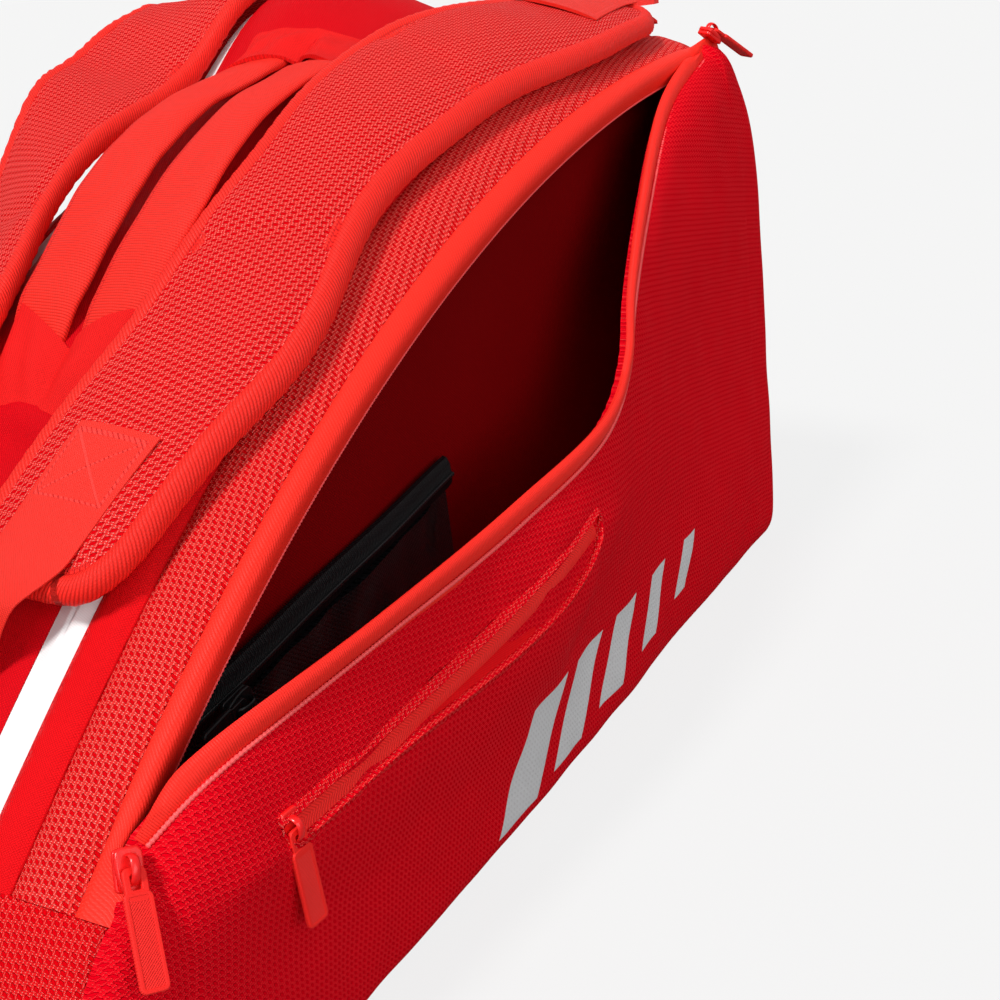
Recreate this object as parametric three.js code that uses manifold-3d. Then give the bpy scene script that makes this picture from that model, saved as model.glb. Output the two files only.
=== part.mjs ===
// Racket tournament bag: wedge-shaped soft bag with two zipped racket compartments, an open
// accessory pocket on the front side, a closed one on the rear side, two padded shoulder
// straps and two carry handles. Millimetres, +Z up, long axis along X, front side at -Y,
// origin on the floor under the middle of the bag.
import * as THREE from 'three';
import { mergeVertices } from 'three/addons/utils/BufferGeometryUtils.js';
import Module from 'manifold-3d';

// ---------------------------------------------------------------- driving dimensions
const TOP_RADIUS = 960;          // side profile of the zip line: one long arc ...
const TOP_CENTRE_X = 306;        // ... whose highest point is here
const TOP_HEIGHT = 346;          // height of the zip line at its highest point
const FAR_CORNER = 50;           // radius of the upper far corner
const FAR_SEAM_HEIGHT = 112;     // where the belt of panels meets the base panel, far end
const NEAR_SEAM_X = -306;        // and at the near end
const NOSE_RADIUS = 150;         // near end below the seam
const FLOOR_FILLET_NEAR = 28;
const FLOOR_FILLET_FAR = 18;

const CROWN = 25;                // how much higher the middle of the top is than its edges, far end
const MIDDLE_CROWN = 2;          // crown half way along, as a multiple of the one at the far end
const REAR_FULLNESS = 42;        // how much the rear half of the top swells past the carry handles
const SPINE_HALF = 70;           // half width of the spine panel between the main zips
const MAIN_ZIP_HALF = 86;        // outer edge of the main zip tapes
const BAND_HALF = 105;           // outer edge of the binding bands
const GUSSET_HALF = 134;         // outer edge of the woven gussets
const ZIP_EDGE_HALF = 141;       // outer edge of the accessory zip tapes
const BASE_HALF = 149;           // half width of the base panel
const SIDE_HALF = 166;           // half width over the flat side panels
const POCKET_WALL = 121;         // outer face of the walls behind the accessory pockets
const SEAM_GAP = 0.4;            // clearance between sewn neighbours

const PANEL = 5;                 // padded panel thickness
const TAPE = 2.4;                // zip tape thickness
const WALL = 4;                  // inner wall thickness
const WALL_CLEARANCE = 4;        // between an inner wall and the outer panels
const BOARD = 2.6;               // stiffener in the base

const SLOT_START = -240;         // welt pocket on the front side panel
const SLOT_HEIGHT = 125;         // at its near end; it rises towards the far end
const SLOT_RISE = 0.09;
const SLOT_TAPE_WIDTH = 13;

const STRAP_HALF = 37.5;         // shoulder strap half width
const STRAP_THICK = 12;
const STRAP_LIFT = 8;            // underside of the strap above the top surface
const WEBBING_NARROW = 38;
const WEBBING_THICK = 2;

const HANDLE_Y = 21.5;             // centre of each carry handle
const HANDLE_WIDTH = 34;
const HANDLE_START = -134;
const HANDLE_END = 100;
const HANDLE_RISE = 30;

const PULL_WIDTH = 10;
const PULL_LENGTH = 41;

const RED = 0xc8101c;
const BRIGHT_RED = 0xe0202a;
const DARK_RED = 0x7a0810;
const WHITE = 0xe9e9ea;
const BLACK = 0x141416;

const bag = new THREE.Group();

// ---------------------------------------------------------------- small helpers
const vec = (x, y, z) => new THREE.Vector3(x, y, z);
const lerp = THREE.MathUtils.lerp;
const clamp01 = (t) => THREE.MathUtils.clamp(t, 0, 1);
const smooth = (t) => THREE.MathUtils.smoothstep(t, 0, 1);

function addMesh(name, geometry, colour, roughness = 0.8, metalness = 0, parent = bag) {
  const material = new THREE.MeshStandardMaterial({ color: colour, roughness, metalness });
  const mesh = new THREE.Mesh(geometry, material);
  mesh.name = name;
  parent.add(mesh);
  return mesh;
}

function signedVolume(points, index) {
  let volume = 0;
  for (let i = 0; i < index.length; i += 3) {
    const [a, b, c] = [points[index[i]], points[index[i + 1]], points[index[i + 2]]];
    volume += a.dot(b.clone().cross(c));
  }
  return volume / 6;
}

function solidFrom(points, index) {
  if (signedVolume(points, index) < 0) {
    for (let i = 0; i < index.length; i += 3) {
      [index[i + 1], index[i + 2]] = [index[i + 2], index[i + 1]];
    }
  }
  const geometry = new THREE.BufferGeometry();
  geometry.setAttribute('position', new THREE.Float32BufferAttribute(
    points.flatMap((p) => [p.x, p.y, p.z]), 3));
  geometry.setIndex(index);
  geometry.computeVertexNormals();
  return geometry;
}

// Closed solid between two grids of points with the same rows and columns.
function shell(outer, inner) {
  const rows = outer.length;
  const columns = outer[0].length;
  const points = [...outer.flat(), ...inner.flat()];
  const index = [];
  const quad = (a, b, c, d) => index.push(a, b, c, a, c, d);
  const top = (r, c) => r * columns + c;
  const low = (r, c) => rows * columns + r * columns + c;
  for (let r = 0; r + 1 < rows; r++) {
    for (let c = 0; c + 1 < columns; c++) {
      quad(top(r, c), top(r + 1, c), top(r + 1, c + 1), top(r, c + 1));
      quad(low(r, c), low(r, c + 1), low(r + 1, c + 1), low(r + 1, c));
    }
  }
  for (let r = 0; r + 1 < rows; r++) {
    quad(top(r, 0), low(r, 0), low(r + 1, 0), top(r + 1, 0));
    quad(top(r + 1, columns - 1), low(r + 1, columns - 1), low(r, columns - 1), top(r, columns - 1));
  }
  for (let c = 0; c + 1 < columns; c++) {
    quad(top(0, c + 1), low(0, c + 1), low(0, c), top(0, c));
    quad(top(rows - 1, c), low(rows - 1, c), low(rows - 1, c + 1), top(rows - 1, c + 1));
  }
  return solidFrom(points, index);
}

const steps = (from, to, count) =>
  Array.from({ length: count + 1 }, (_, i) => lerp(from, to, i / count));

// ---------------------------------------------------------------- side profile
// A station is a point of the profile in the XZ plane with its outward normal and the share
// of the crown that the cross-section has there.
const topCentre = { x: TOP_CENTRE_X, z: TOP_HEIGHT - TOP_RADIUS };
const cornerCentre = { x: TOP_CENTRE_X, z: TOP_HEIGHT - FAR_CORNER };
const farX = TOP_CENTRE_X + FAR_CORNER;
const nearAngle = Math.acos((NEAR_SEAM_X - topCentre.x) / TOP_RADIUS);

function arc(centre, radius, from, to, count) {
  return steps(from, to, count).map((a) => ({
    x: centre.x + radius * Math.cos(a), z: centre.z + radius * Math.sin(a),
    nx: Math.cos(a), nz: Math.sin(a),
  }));
}

const crownShare = (s) => {
  const rise = lerp(0.55, MIDDLE_CROWN, smooth((s.x - NEAR_SEAM_X) / 340));
  const nearFade = rise * lerp(1, 1 / MIDDLE_CROWN, smooth((s.x - 110) / 190));
  const farFade = lerp(0.3, 1, clamp01(s.nz));
  return s.nz > 0 ? nearFade * farFade : 0.3 * smooth(s.z / FAR_SEAM_HEIGHT);
};

const beltStations = [
  ...arc(topCentre, TOP_RADIUS, nearAngle, Math.PI / 2, 30),
  ...arc(cornerCentre, FAR_CORNER, Math.PI / 2, 0, 5).slice(1),
  ...steps(cornerCentre.z, FAR_SEAM_HEIGHT, 3).slice(1).map((z) => ({ x: farX, z, nx: 1, nz: 0 })),
].map((s) => ({ ...s, crown: s.nx > 0.99 ? 0.3 : crownShare(s) }));

const nearSeam = beltStations[0];
const noseCentre = {
  x: nearSeam.x - NOSE_RADIUS * nearSeam.nx, z: nearSeam.z - NOSE_RADIUS * nearSeam.nz,
};
const nearFilletCentre = {
  z: FLOOR_FILLET_NEAR,
  x: noseCentre.x - Math.sqrt((NOSE_RADIUS - FLOOR_FILLET_NEAR) ** 2
    - (FLOOR_FILLET_NEAR - noseCentre.z) ** 2),
};
const noseEndAngle = Math.atan2(nearFilletCentre.z - noseCentre.z, nearFilletCentre.x - noseCentre.x);
const farFilletCentre = { x: farX - FLOOR_FILLET_FAR, z: FLOOR_FILLET_FAR };

const nearBaseCrown = (s) => 0.55 * smooth((s.z - 20) / (nearSeam.z - 20));
const farBaseCrown = (s) => 0.3 * smooth((s.z - 10) / (FAR_SEAM_HEIGHT - 10));
const baseStations = [
  ...arc(noseCentre, NOSE_RADIUS, nearAngle, noseEndAngle, 5)
    .map((s) => ({ ...s, crown: nearBaseCrown(s) })),
  ...arc(nearFilletCentre, FLOOR_FILLET_NEAR, noseEndAngle, 1.5 * Math.PI, 5).slice(1)
    .map((s) => ({ ...s, crown: nearBaseCrown(s) })),
  ...steps(nearFilletCentre.x, farFilletCentre.x, 4).slice(1, -1)
    .map((x) => ({ x, z: 0, nx: 0, nz: -1, crown: 0 })),
  ...arc(farFilletCentre, FLOOR_FILLET_FAR, 1.5 * Math.PI, 2 * Math.PI, 4)
    .map((s) => ({ ...s, crown: farBaseCrown(s) })),
  { x: farX, z: FAR_SEAM_HEIGHT - SEAM_GAP, nx: 1, nz: 0, crown: 0.3 },
];
baseStations[0].x -= SEAM_GAP * nearSeam.nz;
baseStations[0].z += SEAM_GAP * nearSeam.nx;

const crownAt = (y) => CROWN * (1 - (Math.abs(y) / 136) ** 2.2);
const fullness = (x, y) => REAR_FULLNESS * smooth((x - 60) / 110) * smooth((300 - x) / 110)
  * smooth((y + 60) / 120) * Math.max(0, 1 - (Math.abs(y) / 136) ** 3.2);
const onStation = (s, y, lift) => {
  const swell = s.nz > 0 ? fullness(s.x, y) : 0;
  const rise = crownAt(y) * s.crown + swell + lift;
  return vec(s.x + s.nx * rise, y, s.z + s.nz * rise);
};

// Strip of the belt between two widths: it follows the stations and the crown.
function strip(stations, y0, y1, lift, thick, columns) {
  const grid = (h) => stations.map((s) => steps(y0, y1, columns).map((y) => onStation(s, y, h)));
  return shell(grid(lift), grid(lift - thick));
}

// Station of the long top arc at a given x.
function topStation(x) {
  const dx = x - topCentre.x;
  const nx = dx / TOP_RADIUS;
  const nz = Math.sqrt(1 - nx * nx);
  const s = { x, z: topCentre.z + TOP_RADIUS * nz, nx, nz };
  return { ...s, crown: crownShare(s) };
}
const onTop = (x, y, lift) => onStation(topStation(x), y, lift);

// ---------------------------------------------------------------- belt of panels
addMesh('base_panel', strip(baseStations, -BASE_HALF, BASE_HALF, 0, PANEL, 4), RED);
addMesh('spine_panel',
  strip(beltStations, -SPINE_HALF + SEAM_GAP, SPINE_HALF - SEAM_GAP, 0, PANEL, 4), BRIGHT_RED);
for (const [side, sign] of [['front', -1], ['rear', 1]]) {
  const belt = (from, to, lift, thick, columns) => strip(
    beltStations, sign * (from + SEAM_GAP / 2), sign * (to - SEAM_GAP / 2), lift, thick, columns);
  addMesh(`main_zip_${side}`, belt(SPINE_HALF, MAIN_ZIP_HALF, -0.6, TAPE, 1), WHITE, 0.6);
  addMesh(`binding_band_${side}`, belt(MAIN_ZIP_HALF, BAND_HALF, 0, PANEL, 1), BRIGHT_RED, 0.6);
  addMesh(`gusset_${side}`, belt(BAND_HALF, GUSSET_HALF, 0, PANEL, 2), RED);
  addMesh(`pocket_zip_fixed_${side}`, belt(GUSSET_HALF, ZIP_EDGE_HALF, -0.4, TAPE, 1), RED, 0.6);
}

// ---------------------------------------------------------------- inner walls
function wallOutline(inset, crownY, floor) {
  const outline = [];
  for (const s of beltStations) {
    const p = onStation(s, crownY, -inset);
    outline.push(new THREE.Vector2(p.x, p.z));
  }
  const base = baseStations.slice(1, -1).reverse();
  for (const s of base) {
    const p = onStation(s, crownY, -inset);
    outline.push(new THREE.Vector2(p.x, Math.max(p.z, floor)));
  }
  return new THREE.Shape(outline);
}

function addWall(name, y0, y1, colour) {
  const widest = Math.abs(y0) > Math.abs(y1) ? y0 : y1;
  const shape = wallOutline(PANEL + WALL_CLEARANCE, widest, PANEL + BOARD + 3);
  const geometry = new THREE.ExtrudeGeometry(shape, { depth: y1 - y0, bevelEnabled: false });
  geometry.rotateX(Math.PI / 2);
  geometry.translate(0, y1, 0);
  addMesh(name, geometry, colour);
}
addWall('pocket_wall_front', -POCKET_WALL, -POCKET_WALL + WALL, DARK_RED);
addWall('pocket_wall_rear', POCKET_WALL - WALL, POCKET_WALL, DARK_RED);
addWall('racket_divider', -WALL / 2, WALL / 2, DARK_RED);

const boardGeometry = new THREE.BoxGeometry(farFilletCentre.x - nearFilletCentre.x - 8,
  2 * (BASE_HALF - 12), BOARD);
boardGeometry.translate((farFilletCentre.x + nearFilletCentre.x) / 2, 0, PANEL + SEAM_GAP + BOARD / 2);
addMesh('base_board', boardGeometry, BLACK, 0.6);

// ---------------------------------------------------------------- side panels
// Height of the closed outline at x, upper and lower branch.
const zipLift = crownAt(ZIP_EDGE_HALF);
function upperZ(x) {
  if (x > TOP_CENTRE_X) {
    return cornerCentre.z + Math.sqrt((FAR_CORNER + zipLift) ** 2 - (x - TOP_CENTRE_X) ** 2);
  }
  if (x < NEAR_SEAM_X) return noseCentre.z + Math.sqrt(NOSE_RADIUS ** 2 - (x - noseCentre.x) ** 2) - 1;
  return topCentre.z + Math.sqrt((TOP_RADIUS + zipLift) ** 2 - (x - topCentre.x) ** 2);
}
function lowerZ(x) {
  const near = nearFilletCentre.x - x;
  const far = x - farFilletCentre.x;
  if (near > 0) return FLOOR_FILLET_NEAR - Math.sqrt(FLOOR_FILLET_NEAR ** 2 - near ** 2);
  if (far > 0) return FLOOR_FILLET_FAR - Math.sqrt(FLOOR_FILLET_FAR ** 2 - far ** 2);
  return 0;
}

// Free edge of the open front pocket: it hangs out and down between the two ends of its zip.
const lipCurve = new THREE.CatmullRomCurve3([
  vec(-286, -142, upperZ(-286)), vec(-257, -158, 160), vec(-167, -177, 175), vec(-57, -184, 181),
  vec(38, -187, 193), vec(77, -182, 212), vec(105, -174, 238), vec(153, -163, 274),
  vec(228, -149, 320), vec(308, -142, upperZ(308)),
]);
const lipPoints = lipCurve.getPoints(160);
const lipStart = lipPoints[0].x;
const lipEnd = lipPoints[lipPoints.length - 1].x;
function lipAt(x) {
  const i = lipPoints.findIndex((p) => p.x >= x);
  if (i <= 0) return lipPoints[0].clone();
  const [a, b] = [lipPoints[i - 1], lipPoints[i]];
  return a.clone().lerp(b, (x - a.x) / (b.x - a.x));
}

const SIDE_START = nearFilletCentre.x - FLOOR_FILLET_NEAR + 7;
const SIDE_END = farX - 3;
const SIDE_EDGE_HALF = BASE_HALF + 2;
const ZIP_SIDE_HALF = ZIP_EDGE_HALF + 1;
const sideFade = (x) => {
  const near = clamp01((x - SIDE_START) / 60);
  const far = clamp01((SIDE_END - x) / 22);
  return Math.sqrt(1 - (1 - near) ** 2) * Math.sqrt(1 - (1 - far) ** 2);
};
const slumpAt = (x) => 23 * Math.exp(-(((x + 20) / 165) ** 2));

// Half width of a side panel at x and at a share v of its height.
function sideWidth(x, v, topWidth, slump) {
  const fade = sideFade(x);
  const flat = SIDE_EDGE_HALF + (SIDE_HALF - SIDE_EDGE_HALF) * fade;
  const bulged = flat + slump * smooth(v / 0.75);
  if (v < 0.5) {
    return SIDE_EDGE_HALF + (bulged - SIDE_EDGE_HALF) * Math.sqrt(1 - (1 - 2 * v) ** 14);
  }
  return topWidth + (bulged - topWidth) * Math.sqrt(1 - (2 * v - 1) ** 6);
}
const closedTopWidth = (x) => lerp(SIDE_EDGE_HALF, ZIP_SIDE_HALF, clamp01((x - NEAR_SEAM_X - 4) / 12));
function frontPoint(x, v) {
  const open = x > lipStart && x < lipEnd;
  const lip = open ? lipAt(x) : vec(x, -closedTopWidth(x), upperZ(x));
  const y = sideWidth(x, v, -lip.y, open ? slumpAt(x) : 0);
  return vec(x, -y, lerp(lowerZ(x), lip.z, v));
}
function rearPoint(x, v) {
  return vec(x, sideWidth(x, v, closedTopWidth(x), 0), lerp(lowerZ(x), upperZ(x), v));
}
const HEIGHT_SHARES = [0, 0.02, 0.08, 0.2, 0.4, 0.6, 0.75, 0.87, 0.95, 1];

// Solid of a side panel: the inner face is the outer one moved towards the middle of the bag,
// but no further than the edges of the base panel and of the belt that it is sewn to.
function sidePanel(pointAt, columns) {
  const outer = columns.map(({ x, low, high }) =>
    HEIGHT_SHARES.map((v) => pointAt(x, lerp(low, high, v))));
  const inner = columns.map(({ x, low, high }, i) => HEIGHT_SHARES.map((v, j) => {
    const p = outer[i][j].clone();
    const besideBase = x < NEAR_SEAM_X + 6 || lerp(low, high, v) <= 0.4;
    const edge = (besideBase ? BASE_HALF : ZIP_EDGE_HALF) + SEAM_GAP;
    p.y = Math.sign(p.y) * Math.max(Math.abs(p.y) - PANEL, edge);
    return p;
  }));
  return shell(outer, inner);
}
const FLAP_START = -62;
const FLAP_END = 118;
const FLAP_BASE = 0.34;
// The front panel's near length, then the length that runs under the flap and past it.
const frontNearColumns = [SIDE_START, SIDE_START + 6, SIDE_START + 18, -318, NEAR_SEAM_X + 4,
  NEAR_SEAM_X + 16, lipStart + 5, -270, -240, -200, -150, -110, FLAP_START - 12,
].map((x) => ({ x, low: 0, high: 1 }));
const frontFarColumns = [
  ...[FLAP_START - 11.4, -20, 30, 80, FLAP_END + 6].map((x) => ({ x, low: 0, high: FLAP_BASE - 0.04 })),
  ...[FLAP_END + 12, 150, 190, 235, 280, lipEnd - 4, lipEnd + 5, 328, 342, 349, SIDE_END]
    .map((x) => ({ x, low: 0, high: 1 })),
];
addMesh('side_panel_front_near', sidePanel(frontPoint, frontNearColumns), RED);
addMesh('side_panel_front_far', sidePanel(frontPoint, frontFarColumns), RED);
addMesh('pocket_flap_front', sidePanel(frontPoint,
  steps(FLAP_START, FLAP_END, 9).map((x) => ({ x, low: FLAP_BASE, high: 1 }))), RED);
const rearColumns = [
  SIDE_START, SIDE_START + 6, SIDE_START + 18, -318, NEAR_SEAM_X + 4, NEAR_SEAM_X + 16, -250,
  -200, -140, -80, -20, 40, 100, 160, 220, 280, 310, 328, 342, 349, SIDE_END,
].map((x) => ({ x, low: 0, high: 1 }));
addMesh('side_panel_rear', sidePanel(rearPoint, rearColumns), RED);

// Zip tape along the free edge of the front pocket, in three lengths: the middle one rides
// on the flap.
function lipTape(from, to, count) {
  const stations = steps(from, to, count).map((x) => lipAt(x));
  const grid = (h) => stations.map((p) => [
    vec(p.x, p.y + 1.6 - h * 0.2, p.z + 0.8 + h), vec(p.x, p.y + 6.5, p.z + 4.8 + h)]);
  return shell(grid(TAPE), grid(0));
}
addMesh('pocket_zip_lip_near', lipTape(lipStart + 20, FLAP_START - 13, 8), BRIGHT_RED, 0.6);
addMesh('pocket_zip_lip_middle', lipTape(FLAP_START, FLAP_END, 8), BRIGHT_RED, 0.6);
addMesh('pocket_zip_lip_far', lipTape(FLAP_END + 13, lipEnd - 50, 6), BRIGHT_RED, 0.6);

// Welt pocket: zip tape lying on the front panel, up to the flap.
const sidePointAtHeight = (x, z) => {
  const low = lowerZ(x);
  return frontPoint(x, (z - low) / (lipAt(x).z - low));
};
const slotHeight = (x) => SLOT_HEIGHT + SLOT_RISE * (x - SLOT_START);
function slotTape(from, to) {
  const halfTape = SLOT_TAPE_WIDTH / 2;
  const grid = (out) => steps(from, to, 6).map((x) =>
    [-halfTape, halfTape].map((dz) =>
      sidePointAtHeight(x, slotHeight(x) + dz).add(vec(0, -out, 0))));
  return shell(grid(SEAM_GAP + 1.6), grid(SEAM_GAP + 0.4));
}
addMesh('slot_zip', slotTape(SLOT_START, FLAP_START - 13), BRIGHT_RED, 0.6);

// ---------------------------------------------------------------- mesh pouch in the front pocket
const POUCH_START = -236;
const POUCH_END = -20;
const pouchTop = (x) => 162 + 0.13 * (x - POUCH_START);
const POUCH_FRONT = -POCKET_WALL - 11;
const pouchOutline = new THREE.Shape([
  new THREE.Vector2(POUCH_END, 26),
  new THREE.Vector2(POUCH_START, 26),
  ...steps(POUCH_START, POUCH_END, 6).map((x) => new THREE.Vector2(x, pouchTop(x))),
]);
const pouchGeometry = new THREE.ExtrudeGeometry(pouchOutline, { depth: 8, bevelEnabled: false });
pouchGeometry.rotateX(Math.PI / 2);
pouchGeometry.translate(0, -POCKET_WALL - 1, 0);
addMesh('mesh_pouch', pouchGeometry, BLACK, 0.7);
const pouchZip = (h) => steps(POUCH_START + 6, POUCH_END - 6, 6).map((x) => {
  const z = pouchTop(x) - 16;
  return [vec(x, POUCH_FRONT + 1.5 - h, z), vec(x, POUCH_FRONT + 1.5 - h, z + 12)];
});
addMesh('pouch_zip', shell(pouchZip(1.4), pouchZip(0)), BLACK, 0.5);

// ---------------------------------------------------------------- zip sliders and pulls
// Slider frame: origin on the tape, x along the chain, z out of the tape. Its bridge is an
// arch that the eye of the pull hangs in; the pull turns about the bar in the arch.
const BRIDGE_FLOOR = 5.2;
const BRIDGE_OPENING = 3.4;
const BRIDGE_ROOF = 1.4;
const BRIDGE_HALF = 4.8;
const BRIDGE_LEG = 1.6;
const BRIDGE_WIDE = 3;
const PIVOT_X = 0.6;
const PIVOT_Z = BRIDGE_FLOOR + BRIDGE_OPENING / 2;
const PULL_BAR = 1.6;

function basis(along, out) {
  const x = along.clone().normalize();
  const z = out.clone().addScaledVector(x, -out.dot(x)).normalize();
  const y = z.clone().cross(x);
  return new THREE.Matrix4().makeBasis(x, y, z);
}

function extrudeUp(shape, depth, z) {
  const geometry = new THREE.ExtrudeGeometry(shape, { depth, bevelEnabled: false });
  geometry.translate(0, 0, z);
  return geometry;
}

const polygon = (list) => new THREE.Shape(list.map(([x, y]) => new THREE.Vector2(x, y)));

const wasm = await Module();
wasm.setup();

function toManifold(geometry) {
  const bare = geometry.clone();
  bare.deleteAttribute('normal');
  bare.deleteAttribute('uv');
  const merged = mergeVertices(bare, 1e-4);
  return new wasm.Manifold(new wasm.Mesh({
    numProp: 3,
    vertProperties: new Float32Array(merged.attributes.position.array),
    triVerts: new Uint32Array(merged.index.array),
  }));
}

function fromManifold(solid) {
  const mesh = solid.getMesh();
  const geometry = new THREE.BufferGeometry();
  const positions = new Float32Array(mesh.vertProperties);
  geometry.setAttribute('position', new THREE.BufferAttribute(positions, 3));
  geometry.setIndex(new THREE.BufferAttribute(new Uint32Array(mesh.triVerts), 1));
  geometry.computeVertexNormals();
  return geometry;
}

// Side outlines are drawn in XZ and made solid across Y.
function extrudeAcross(shape, halfWidth) {
  const geometry = new THREE.ExtrudeGeometry(shape, { depth: 2 * halfWidth, bevelEnabled: false });
  geometry.rotateX(Math.PI / 2);
  geometry.translate(0, halfWidth, 0);
  return geometry;
}

function sliderGeometry() {
  const body = polygon([[-7, 0.6], [7, 0.6], [7.4, 1.8], [6.2, BRIDGE_FLOOR],
    [-6.2, BRIDGE_FLOOR], [-7.4, 1.8]]);
  const roof = BRIDGE_FLOOR + BRIDGE_OPENING + BRIDGE_ROOF;
  const bridge = polygon([[-BRIDGE_HALF, BRIDGE_FLOOR - 1], [BRIDGE_HALF, BRIDGE_FLOOR - 1],
    [BRIDGE_HALF, roof - 0.8], [BRIDGE_HALF - 0.8, roof], [-BRIDGE_HALF + 0.8, roof],
    [-BRIDGE_HALF, roof - 0.8]]);
  const legIn = BRIDGE_HALF - BRIDGE_LEG;
  const opening = polygon([[-legIn, BRIDGE_FLOOR], [legIn, BRIDGE_FLOOR],
    [legIn, roof - BRIDGE_ROOF], [-legIn, roof - BRIDGE_ROOF]]);
  const solid = toManifold(extrudeAcross(body, 4.6))
    .add(toManifold(extrudeAcross(bridge, BRIDGE_WIDE / 2)))
    .subtract(toManifold(extrudeAcross(opening, BRIDGE_WIDE)));
  return fromManifold(solid);
}

// Pull: eye round one leg of the bridge, narrow neck, then a flat grip with rounded ends.
function pullGeometry() {
  const half = PULL_WIDTH / 2;
  const eye = 3.9;
  const shape = new THREE.Shape();
  shape.moveTo(PIVOT_X - PULL_BAR / 2, -eye);
  shape.lineTo(PIVOT_X + 9, -eye);
  shape.lineTo(PIVOT_X + 11, -half);
  shape.lineTo(PIVOT_X + PULL_LENGTH - 2, -half);
  shape.absarc(PIVOT_X + PULL_LENGTH - 2, -half + 2, 2, -Math.PI / 2, 0, false);
  shape.absarc(PIVOT_X + PULL_LENGTH - 2, half - 2, 2, 0, Math.PI / 2, false);
  shape.lineTo(PIVOT_X + 11, half);
  shape.lineTo(PIVOT_X + 9, eye);
  shape.lineTo(PIVOT_X - PULL_BAR / 2, eye);
  shape.closePath();
  const hole = new THREE.Path();
  hole.moveTo(PIVOT_X + PULL_BAR / 2, -2.3);
  hole.lineTo(PIVOT_X + PULL_BAR / 2, 2.3);
  hole.lineTo(PIVOT_X + 7, 2.3);
  hole.lineTo(PIVOT_X + 7, -2.3);
  hole.closePath();
  shape.holes.push(hole);
  const geometry = new THREE.ExtrudeGeometry(shape,
    { depth: PULL_BAR, bevelEnabled: false, curveSegments: 3 });
  geometry.translate(0, 0, PIVOT_Z - PULL_BAR / 2);
  return geometry;
}

// The pull is turned about the bar by `swing` degrees from lying along the chain.
function addSlider(name, origin, along, out, swing) {
  const slider = new THREE.Group();
  slider.applyMatrix4(basis(along, out).setPosition(origin));
  bag.add(slider);
  addMesh(`${name}_slider`, sliderGeometry(), BRIGHT_RED, 0.45, 0.1, slider);
  const turn = new THREE.Group();
  turn.position.set(PIVOT_X, 0, PIVOT_Z);
  turn.rotation.y = -THREE.MathUtils.degToRad(swing);
  slider.add(turn);
  const pull = addMesh(`${name}_pull`, pullGeometry(), BRIGHT_RED, 0.5, 0, turn);
  pull.position.set(-PIVOT_X, 0, -PIVOT_Z);
}

// Front pocket: one slider parked at each end of the open zip, their pulls hanging.
const nearZipEnd = onTop(-291, -ZIP_EDGE_HALF - 9, 6);
addSlider('pocket_near', nearZipEnd, vec(-0.42, -0.3, -0.86), vec(-0.3, -0.92, 0.2), 10);
const farZipEnd = onTop(TOP_CENTRE_X + 10, -ZIP_EDGE_HALF - 4, 8);
addSlider('pocket_far', farZipEnd, vec(0.78, -0.2, -0.5), vec(0.5, -0.3, 0.8), 2);

const slotOrigin = sidePointAtHeight(SLOT_START + 6, slotHeight(SLOT_START + 6)).add(vec(0, -1.8, 0));
addSlider('slot', slotOrigin, vec(0, 0, -1), vec(-0.08, -1, 0), 3);

// Main zips: two sliders on each, together on the far end, where the closed chain ends.
for (const [side, sign] of [['front', -1], ['rear', 1]]) {
  const y = sign * (SPINE_HALF + MAIN_ZIP_HALF) / 2;
  for (const [place, z] of [['upper', 268], ['lower', 212]]) {
    const station = { x: farX, z, nx: 1, nz: 0, crown: 0.3 };
    addSlider(`main_${side}_${place}`, onStation(station, y, 0), vec(0, 0, -1), vec(1, 0, 0), 2);
  }
}

// Rear pocket: closed, both sliders near the near end.
for (const [place, x] of [['near', -286], ['far', -228]]) {
  const s = topStation(x);
  addSlider(`pocket_rear_${place}`, onStation(s, ZIP_EDGE_HALF - 3, 2.4), vec(-s.nz, 0, s.nx),
    vec(s.nx * 0.8, 0.6, s.nz * 0.8), 2);
}

const pouchEdge = vec(-1, 0, -0.13).normalize();
const pouchSlider = addMesh('pouch_slider', sliderGeometry(), BLACK, 0.45, 0.1);
pouchSlider.applyMatrix4(basis(pouchEdge, vec(0, -1, 0)).setPosition(
  vec(POUCH_START + 30, POUCH_FRONT, pouchTop(POUCH_START + 30) - 10)));

// ---------------------------------------------------------------- webbing and straps
// Ribbon laid along stations: each has a middle point, an outward normal and a half width.
function ribbon(stations, thick, across = vec(0, 1, 0)) {
  const grid = (h) => stations.map((s) => [-1, 0, 1].map((side) =>
    s.point.clone().addScaledVector(across, side * s.half).addScaledVector(s.normal, h)));
  return shell(grid(thick), grid(0));
}

// Point of a strap: it follows the crown under it, except where it floats. There it stands off
// the bag, with its outer edge turned up.
const FLOAT_LIFT = 26;
const FLOAT_ROLL = 0.3;
const floatShare = (x) => smooth((x + 150) / 120) * smooth((206 - x) / 66);
const floatRoll = (x) => FLOAT_ROLL * (1 - smooth((x - 90) / 60));
function strapPoint(middle, x, dy, lift) {
  const lying = onTop(x, middle(x) + dy, lift);
  if (!middle.floats) {
    return lying;
  }
  const up = vec(0, dy * Math.cos(floatRoll(x)), dy * Math.sin(floatRoll(x)));
  return lying.lerp(onTop(x, middle(x), lift + FLOAT_LIFT).add(up), floatShare(x));
}
function lyingStrap(middle, halfAt, lift, thick, x0, x1, count) {
  const grid = (h) => steps(x0, x1, count).map((x) => {
    const half = halfAt(x);
    const under = typeof lift === 'function' ? lift(x) : lift;
    return steps(-half, half, 4).map((dy) => strapPoint(middle, x, dy, under + h));
  });
  return shell(grid(thick), grid(0));
}

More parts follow.
